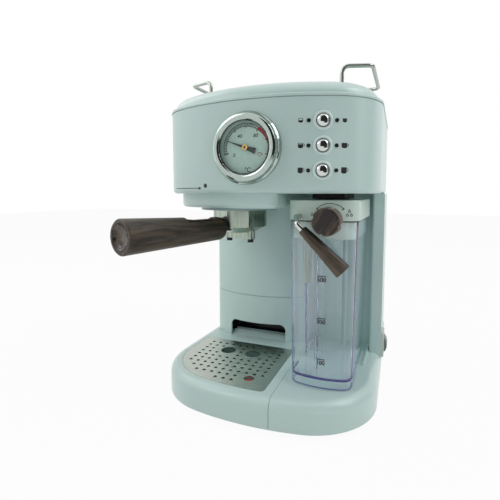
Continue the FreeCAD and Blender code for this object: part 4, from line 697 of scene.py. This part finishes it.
def make_pointer_hub():
    """The brass ring and the dark pin that hold the pointer and turn with it."""
    hub = turned([(2.75, 3.3), (2.75, 4.0), (2.4, 4.25), (1.4, 4.25), (0.9, 4.2)], segments=48)
    hub = smooth(stand(hub, gauge_centre, to_front))
    place(hub, "pointer_hub_ring", "gauge_pointer", brass)
    pin = turned([(1.0, 3.6), (1.0, 4.3), (0.7, 4.5), (0.2, 4.55)], segments=32)
    pin = smooth(stand(pin, gauge_centre, to_front))
    place(pin, "pointer_pin", "gauge_pointer", black_plastic)


# ---------------------------------------------------------------- buttons
def make_buttons():
    """Three moulded rings in one piece, and a domed button in each; rings of radius and height."""
    low = min(button_heights.values())
    outer, inner, back = 8.5, 5.9, -1.2
    ring = [(outer, back), (outer, 0.9), (8.4, 1.4), (8.1, 1.9), (7.7, 2.25), (7.2, 2.4),
            (6.7, 2.3), (6.3, 2.0), (6.0, 1.5), (inner, 0.6), (inner, back), (outer, back)]
    first = stand(turned(ring, segments=72, filled=False), (button_x, button_y, low),
                  button_forward)
    rings = [first] + [copy_moved(first, (0, 0, height - low))
                       for height in button_heights.values() if height > low]
    # The rings take the lighter paint, a painted highlight.
    place(smooth(join(rings), 45), "button_rings_moulded", "housing", highlit_ring_paint,
          ["button_rings"])
    cap_radius, cap_edge, cap_rise = 5.6, 0.9, 3.3
    cap = [(5.5, -4.0), (cap_radius, -3.8), (cap_radius, 0.8)]
    cap += dome(cap_radius, cap_edge, cap_rise, steps=14)
    for name, height in button_heights.items():
        button = stand(turned(cap, segments=72), (button_x, button_y, height), button_forward)
        place(smooth(button, 60), "push_button_" + name, "brew_button_" + name, chrome,
              ["brew_button_" + name])


# ---------------------------------------------------------------- print on the head, lid and jar
def make_drink_signs():
    """A row of two cups beside each button; a cup's width, height, fill and if it has a handle."""
    left_cups = ((3.8, 3.6, 0.5, False), (4.2, 4.4, 0.75, True), (4.2, 4.8, 1.0, True))
    right_cups = ((3.2, 3.4, 1.0, False), (4.2, 4.4, 1.0, True), (4.2, 5.4, 1.0, True))
    signs = []
    for x, cups in ((47.7, left_cups), (82.6, right_cups)):
        for height, cup in zip(button_heights.values(), cups):
            signs.append(cup_sign(x, height, *cup))
    place(lay_on(join(signs), "head_shell", cuts=1), "drink_signs", "housing", black_print)


def make_lock_line():
    """The line that ends in an arrow and a drop, over the filter holder."""
    line_x, line_z, line_length, line_width = -69.5, 221.2, 38.0, 0.7
    arrow_x, arrow_slope = -51.5, 18
    line = [flat_box(line_x, line_z, line_length, line_width)]
    line += [flat_box(arrow_x, z, 3.2, 0.8, turn=turn)
             for z, turn in ((221.7, -arrow_slope), (220.7, arrow_slope))]
    line = lay_on(join(line), "head_shell", cuts=14)
    drop = lay_on(flat_drop(-44.3, 220.9, 4.2), "head_shell", cuts=0)
    place(join([line, drop]), "lock_line", "housing", black_print)


def make_froth_arrow():
    """The two-ended arrow over the froth knob, with one drop at its left and three at its right."""
    arc_x, arc_z, arc_start, arc_sweep = 70.1, 190.3, 134, -88
    drop_width, drop_hollow = 2.4, 0.55
    arc = flat_arc(arc_x, arc_z, 16.7, 17.3, arc_start, arc_sweep, steps=40)
    ends = [flat_box(x, z, width, height, turn=turn) for x, z, width, height, turn in (
        (58.7, 202.1, 2.6, 0.6, -15), (58.9, 202.3, 0.6, 2.4, -10),
        (81.5, 202.2, 2.6, 0.6, 15), (81.2, 202.4, 0.6, 2.4, 10))]
    drops = [flat_drop(x, z, drop_width, hollow=drop_hollow)
             for x, z in ((53.8, 197.0), (86.7, 200.2), (85.1, 196.8), (88.3, 196.8))]
    marks = lay_on(join([arc] + ends + drops), "milk_lid", cuts=1)
    place(marks, "froth_arrow", "milk_tank", black_print)


def make_jar_levels():
    """The level lines on the front of the jar, with the figures under them."""
    levels_x, line_length, line_width = 63.2, 8.6, 0.9
    figure_drop, figure_height = 3.4, 3.9
    levels = []
    for words, height in (("500", 140.4), ("300", 100.8), ("100", 61.8)):
        levels.append(flat_box(levels_x, height, line_length, line_width))
        levels.append(figures(words, levels_x, height - figure_drop, figure_height,
                              print_start_y, bold=0.22))
    place(lay_on(join(levels), "milk_jar", cuts=2), "jar_levels", "milk_tank", brown_print)


# ---------------------------------------------------------------- handle end and milk jar
def make_handle_end():
    """The dished end of the handle; its rings are measured along the handle from its root."""
    rings = [(11.5, 142.05), (11.5, 147.3), (11.3, 147.5), (11.0, 147.2), (10.3, 146.2),
             (9.2, 145.2), (7.6, 144.4), (5.6, 143.8), (3.4, 143.5), (1.4, 143.4), (0.3, 143.4)]
    side = math.radians(handle_side_angle)
    dish = stand(turned(rings), handle_root, (-math.sin(side), -math.cos(side), 0))
    place(smooth(dish, 60), "handle_end_dish", "portafilter", wood_cap,
          ["handle_end_cap"])


def drawn_in(x, z):
    """Where a point of the jar goes, as moulded jars grow narrower towards the foot."""
    return x + (jar_middle_x - x) * jar_draft * (jar_top - z) / (jar_top - jar_foot)


def bead(points, radius):
    """A thin round bead along points of the jar."""
    deselect()
    line = bpy.data.curves.new("bead", "CURVE")
    line.dimensions = "3D"
    line.bevel_depth = radius * mm
    line.bevel_resolution = 2
    line.use_fill_caps = True
    run = line.splines.new("POLY")
    run.points.add(len(points) - 1)
    for point, (x, y, z) in zip(run.points, points):
        point.co = (*metres(drawn_in(x, z), y, z), 1)
    piece = bpy.data.objects.new("bead", line)
    bpy.context.scene.collection.objects.link(piece)
    pick(piece)
    bpy.ops.object.convert(target="MESH")
    return bpy.context.object


def bow(centre, radius, start, sweep, steps):
    """Points along an arc as seen from above, from the angle start over sweep."""
    turns = [math.radians(start + sweep * i / steps) for i in range(steps + 1)]
    return [(centre[0] + radius * math.cos(turn), centre[1] + radius * math.sin(turn))
            for turn in turns]


def make_jar():
    """The jar with its sides drawn in."""
    jar = merged_copy("milk_jar")
    for corner in jar.data.vertices:
        corner.co.x = drawn_in(corner.co.x / mm, corner.co.z / mm) * mm
    place(jar, "milk_jar_moulded", "milk_tank", clear, ["milk_jar"])


def make_jar_painted_refraction():
    """Thin violet-blue beads that are painted refraction: the coloured lines where light gathers
    along the clear plastic's edges, round the foot, the rim and up the corners.
    """
    corner_radius, corner_sweep, corner_y = 10.9, 75.6, -90.0
    front_radius, front_sweep, front_centre_y = 90.9, 28.8, -12.5
    outline = [(31.1, -74.5)]
    left_x, right_x = 41.9, 81.7
    outline += bow((left_x, corner_y), corner_radius, 180, corner_sweep, steps=10)
    outline += bow((jar_middle_x, front_centre_y), front_radius, -104.4, front_sweep,
                   steps=12)[1:-1]
    outline += bow((right_x, corner_y), corner_radius, -corner_sweep, corner_sweep, steps=10)
    outline.append((92.6, -60.0))
    for name, height, radius, finish in (("jar_foot_painted_refraction", 42.6, 1.25, painted_edge_refraction),
                                         ("jar_rim_painted_refraction", 33.9, 0.5, painted_corner_refraction)):
        line = bead([(x, y, height) for x, y in outline], radius)
        place(smooth(line, 60), name, "milk_tank", finish)
    corner_heights = (45.0, 100.0, 150.0, 187.0)
    corners = [bead([(x, y, height) for height in corner_heights], radius)
               for x, y, radius in ((31.9, -94.4, 0.35), (31.2, -36.8, 0.45),
                                    (49.4, -70.9, 0.3), (92.5, -90.6, 0.55))]
    place(smooth(join(corners), 60), "jar_corner_painted_refraction", "milk_tank", painted_corner_refraction)


# ---------------------------------------------------------------- column and seam
def make_column():
    """Both column panels again, with the seam between them a little lower."""
    seam_reach, seam_drop = 0.6, 3.2
    for node, name in (("column_upper_panel", "column_upper_shell"),
                       ("column_lower_panel", "column_lower_shell")):
        panel = merged_copy(node)
        for corner in panel.data.vertices:
            if abs(corner.co.z / mm - column_seam_z) < seam_reach:
                corner.co.z -= seam_drop * mm
        smooth(panel, 25)
        modify(panel, "WEIGHTED_NORMAL", keep_sharp=True, weight=50)
        place(panel, name, "housing", shell_paint, [node])


def make_arch_painted_shade():
    """A dark sheet that is painted shade behind the arch: a floor and a back in one bent sheet, and
    a left side.
    """
    left, right, front, back, floor, roof = -80.0, 3.0, 16.0, 35.2, 33.15, 57.6
    side_y, side_depth, side_gap = 19.5, 31, 0.3
    sheet_thickness, side_thickness, rounded = 0.5, 0.4, 0.15
    near_back = 0.1
    sheet = add_sheet(metres((left + right) / 2, (front + back) / 2, floor),
                      ((right - left) * mm, (back - front) * mm))
    for corner in sheet.data.vertices:
        corner.select = corner.co.y > (back - near_back) * mm
    for edge in sheet.data.edges:
        edge.select = all(sheet.data.vertices[i].select for i in edge.vertices)
    for face in sheet.data.polygons:
        face.select = False
    bpy.ops.object.mode_set(mode="EDIT")
    bpy.ops.mesh.select_mode(type="EDGE")
    rise = (0, 0, (roof - floor) * mm)
    bpy.ops.mesh.extrude_region_move(TRANSFORM_OT_translate={"value": rise})
    bpy.ops.object.mode_set(mode="OBJECT")
    modify(sheet, "SOLIDIFY", thickness=sheet_thickness * mm, offset=1.0)
    side = add_sheet(metres(left - side_gap, side_y, (floor + roof) / 2),
                     ((roof - floor) * mm, side_depth * mm), (0, math.radians(90), 0))
    modify(side, "SOLIDIFY", thickness=side_thickness * mm)
    sheet = join([sheet, side])
    modify(sheet, "BEVEL", width=rounded * mm, segments=2)
    # The dark sheet is painted shade, where the inside of the arch is only in shadow.
    place(smooth(sheet), "arch_painted_shade", "housing", black_plastic)


def make_seam_painted_light():
    """A grey strip that fills the seam under the top cover, cut from the head's upper edge: painted
    light and shade, so that the shaded gap shows paler.
    """
    cut_z, lift, shrink, strip_middle = 297.9, 0.45, 0.9975, (0, 30, 298)
    strip = merged_copy("head_shell")
    edit_all(strip)
    bpy.ops.mesh.bisect(plane_co=(0, 0, cut_z * mm), plane_no=(0, 0, 1), clear_inner=True)
    bpy.ops.mesh.select_all(action="SELECT")
    bpy.ops.transform.translate(value=(0, 0, lift * mm))
    bpy.ops.transform.resize(value=(shrink, shrink, 1), center_override=metres(*strip_middle))
    bpy.ops.object.mode_set(mode="OBJECT")
    # Painted light and shade: the grey strip makes the dark gap of the seam show paler.
    place(strip, "head_seam_painted_light", "housing", seam_painted_light)


make_bezel()
make_dial_print()
make_pointer_hub()
make_buttons()
make_drink_signs()
make_lock_line()
make_froth_arrow()
make_jar_levels()
make_handle_end()
make_jar()
make_jar_painted_refraction()
make_column()
make_arch_painted_shade()
make_seam_painted_light()


# ---------------------------------------------------------------- studio, in metres
camera_place = (0.13608, -0.4557, 0.216)
camera_azimuth, camera_pitch = 22.0, 4.95
lens_length, sensor_width = 28.152, 36
lens_shift = (-0.0034, -0.045)
machine_middle = (0, 0, 0.2)

# Each softbox: its place, what it aims at, its size and its power in watts.
softboxes = {
    "left softbox": ((-1.3, -0.4, 0.6), machine_middle, (0.9, 1.2), 1.5),
    "upper left softbox": ((-1.1, 0.1, 1.2), machine_middle, (0.9, 0.9), 4.0),
    "upper right softbox": ((1.1, 0.1, 1.2), machine_middle, (0.9, 0.9), 8.0),
    "right front softbox": ((0.75, -0.95, 0.3), (0, 0, 0.15), (0.5, 0.4), 1.0),
    "top softbox": ((0.0, 0.0, 1.6), machine_middle, (1.2, 1.2), 1.0),
    "front left softbox": ((-0.9, -0.9, 1.1), machine_middle, (0.7, 0.7), 3.4),
}
# Each dark card: its azimuth, distance and width, and the heights of its lower and upper edge.
dark_cards = {
    "front card": (37, 0.72, 1.1, 0.17, 1.35),
    "low card": (56, 0.72, 0.6, 0.0, 0.17),
    "right card": (105, 1.25, 0.7, 0.05, 1.6),
}


def make_floor():
    """A white floor that glows for the camera and in what mirrors it, but lights nothing."""
    floor_size, glow_share = 8, 0.95
    deselect()
    bpy.ops.mesh.primitive_plane_add(size=floor_size, location=(0, 0, 0))
    floor = settle(bpy.context.object)
    floor.name = "studio_floor"
    material, tree, shader = new_material("studio white")
    shader.inputs["Base Color"].default_value = (0.82, 0.83, 0.83, 1)
    shader.inputs["Roughness"].default_value = 0.8
    seen = seen_by(tree, "Camera", "Glossy", "Transmission")
    white = add(tree, "ShaderNodeEmission", Strength=1.0)
    show_mixed(tree, math_node(tree, "MULTIPLY", seen, glow_share), shader, white,
               "Material Output")
    floor.data.materials.append(material)


def make_world():
    """A soft world for the light, and a plain white one for the camera and the mirrors."""
    world = bpy.data.worlds.new("studio")
    bpy.context.scene.world = world
    world.use_nodes = True
    tree = world.node_tree
    soft = tree.nodes["Background"]
    soft.inputs["Color"].default_value = (0.95, 0.985, 1.0, 1)
    soft.inputs["Strength"].default_value = 0.30
    bright = add(tree, "ShaderNodeBackground", Color=(1, 1, 1, 1), Strength=1.0)
    show_mixed(tree, seen_by(tree, "Camera", "Transmission", "Glossy"), soft, bright,
               "World Output")


def make_dark_card(name, azimuth, distance, width, low, high):
    """A black studio card that only shows in what reflects it."""
    turn = math.radians(azimuth)
    card = add_sheet((distance * math.sin(turn), -distance * math.cos(turn), (low + high) / 2),
                     (width, high - low), (math.radians(90), 0, turn))
    card.name = name
    material, tree, shader = new_material(name)
    shader.inputs["Base Color"].default_value = (0.015, 0.016, 0.017, 1)
    shader.inputs["Roughness"].default_value = 0.9
    card.data.materials.append(material)
    for way in ("visible_camera", "visible_diffuse", "visible_transmission", "visible_shadow"):
        setattr(card, way, False)


def make_softbox(name, where, aim, size, power):
    data = bpy.data.lights.new(name, "AREA")
    data.shape = "RECTANGLE"
    data.size, data.size_y = size
    data.energy = power
    lamp = bpy.data.objects.new(name, data)
    bpy.context.scene.collection.objects.link(lamp)
    lamp.location = where
    lamp.rotation_mode = "QUATERNION"
    lamp.rotation_quaternion = (Vector(aim) - Vector(where)).to_track_quat("-Z", "Y")


def make_camera():
    data = bpy.data.cameras.new("studio camera")
    camera = bpy.data.objects.new("studio camera", data)
    bpy.context.scene.collection.objects.link(camera)
    bpy.context.scene.camera = camera
    data.lens = lens_length
    data.sensor_width = sensor_width
    data.shift_x, data.shift_y = lens_shift
    data.clip_start, data.clip_end = 0.01, 50
    azimuth, pitch = math.radians(camera_azimuth), math.radians(camera_pitch)
    forward = Vector((-math.sin(azimuth) * math.cos(pitch), math.cos(azimuth) * math.cos(pitch),
                      -math.sin(pitch)))
    camera.location = camera_place
    camera.rotation_mode = "QUATERNION"
    camera.rotation_quaternion = forward.to_track_quat("-Z", "Y")


make_floor()
make_world()
for softbox, values in softboxes.items():
    make_softbox(softbox, *values)
for card, values in dark_cards.items():
    make_dark_card(card, *values)
make_camera()
bpy.context.scene.view_settings.view_transform = "Standard"
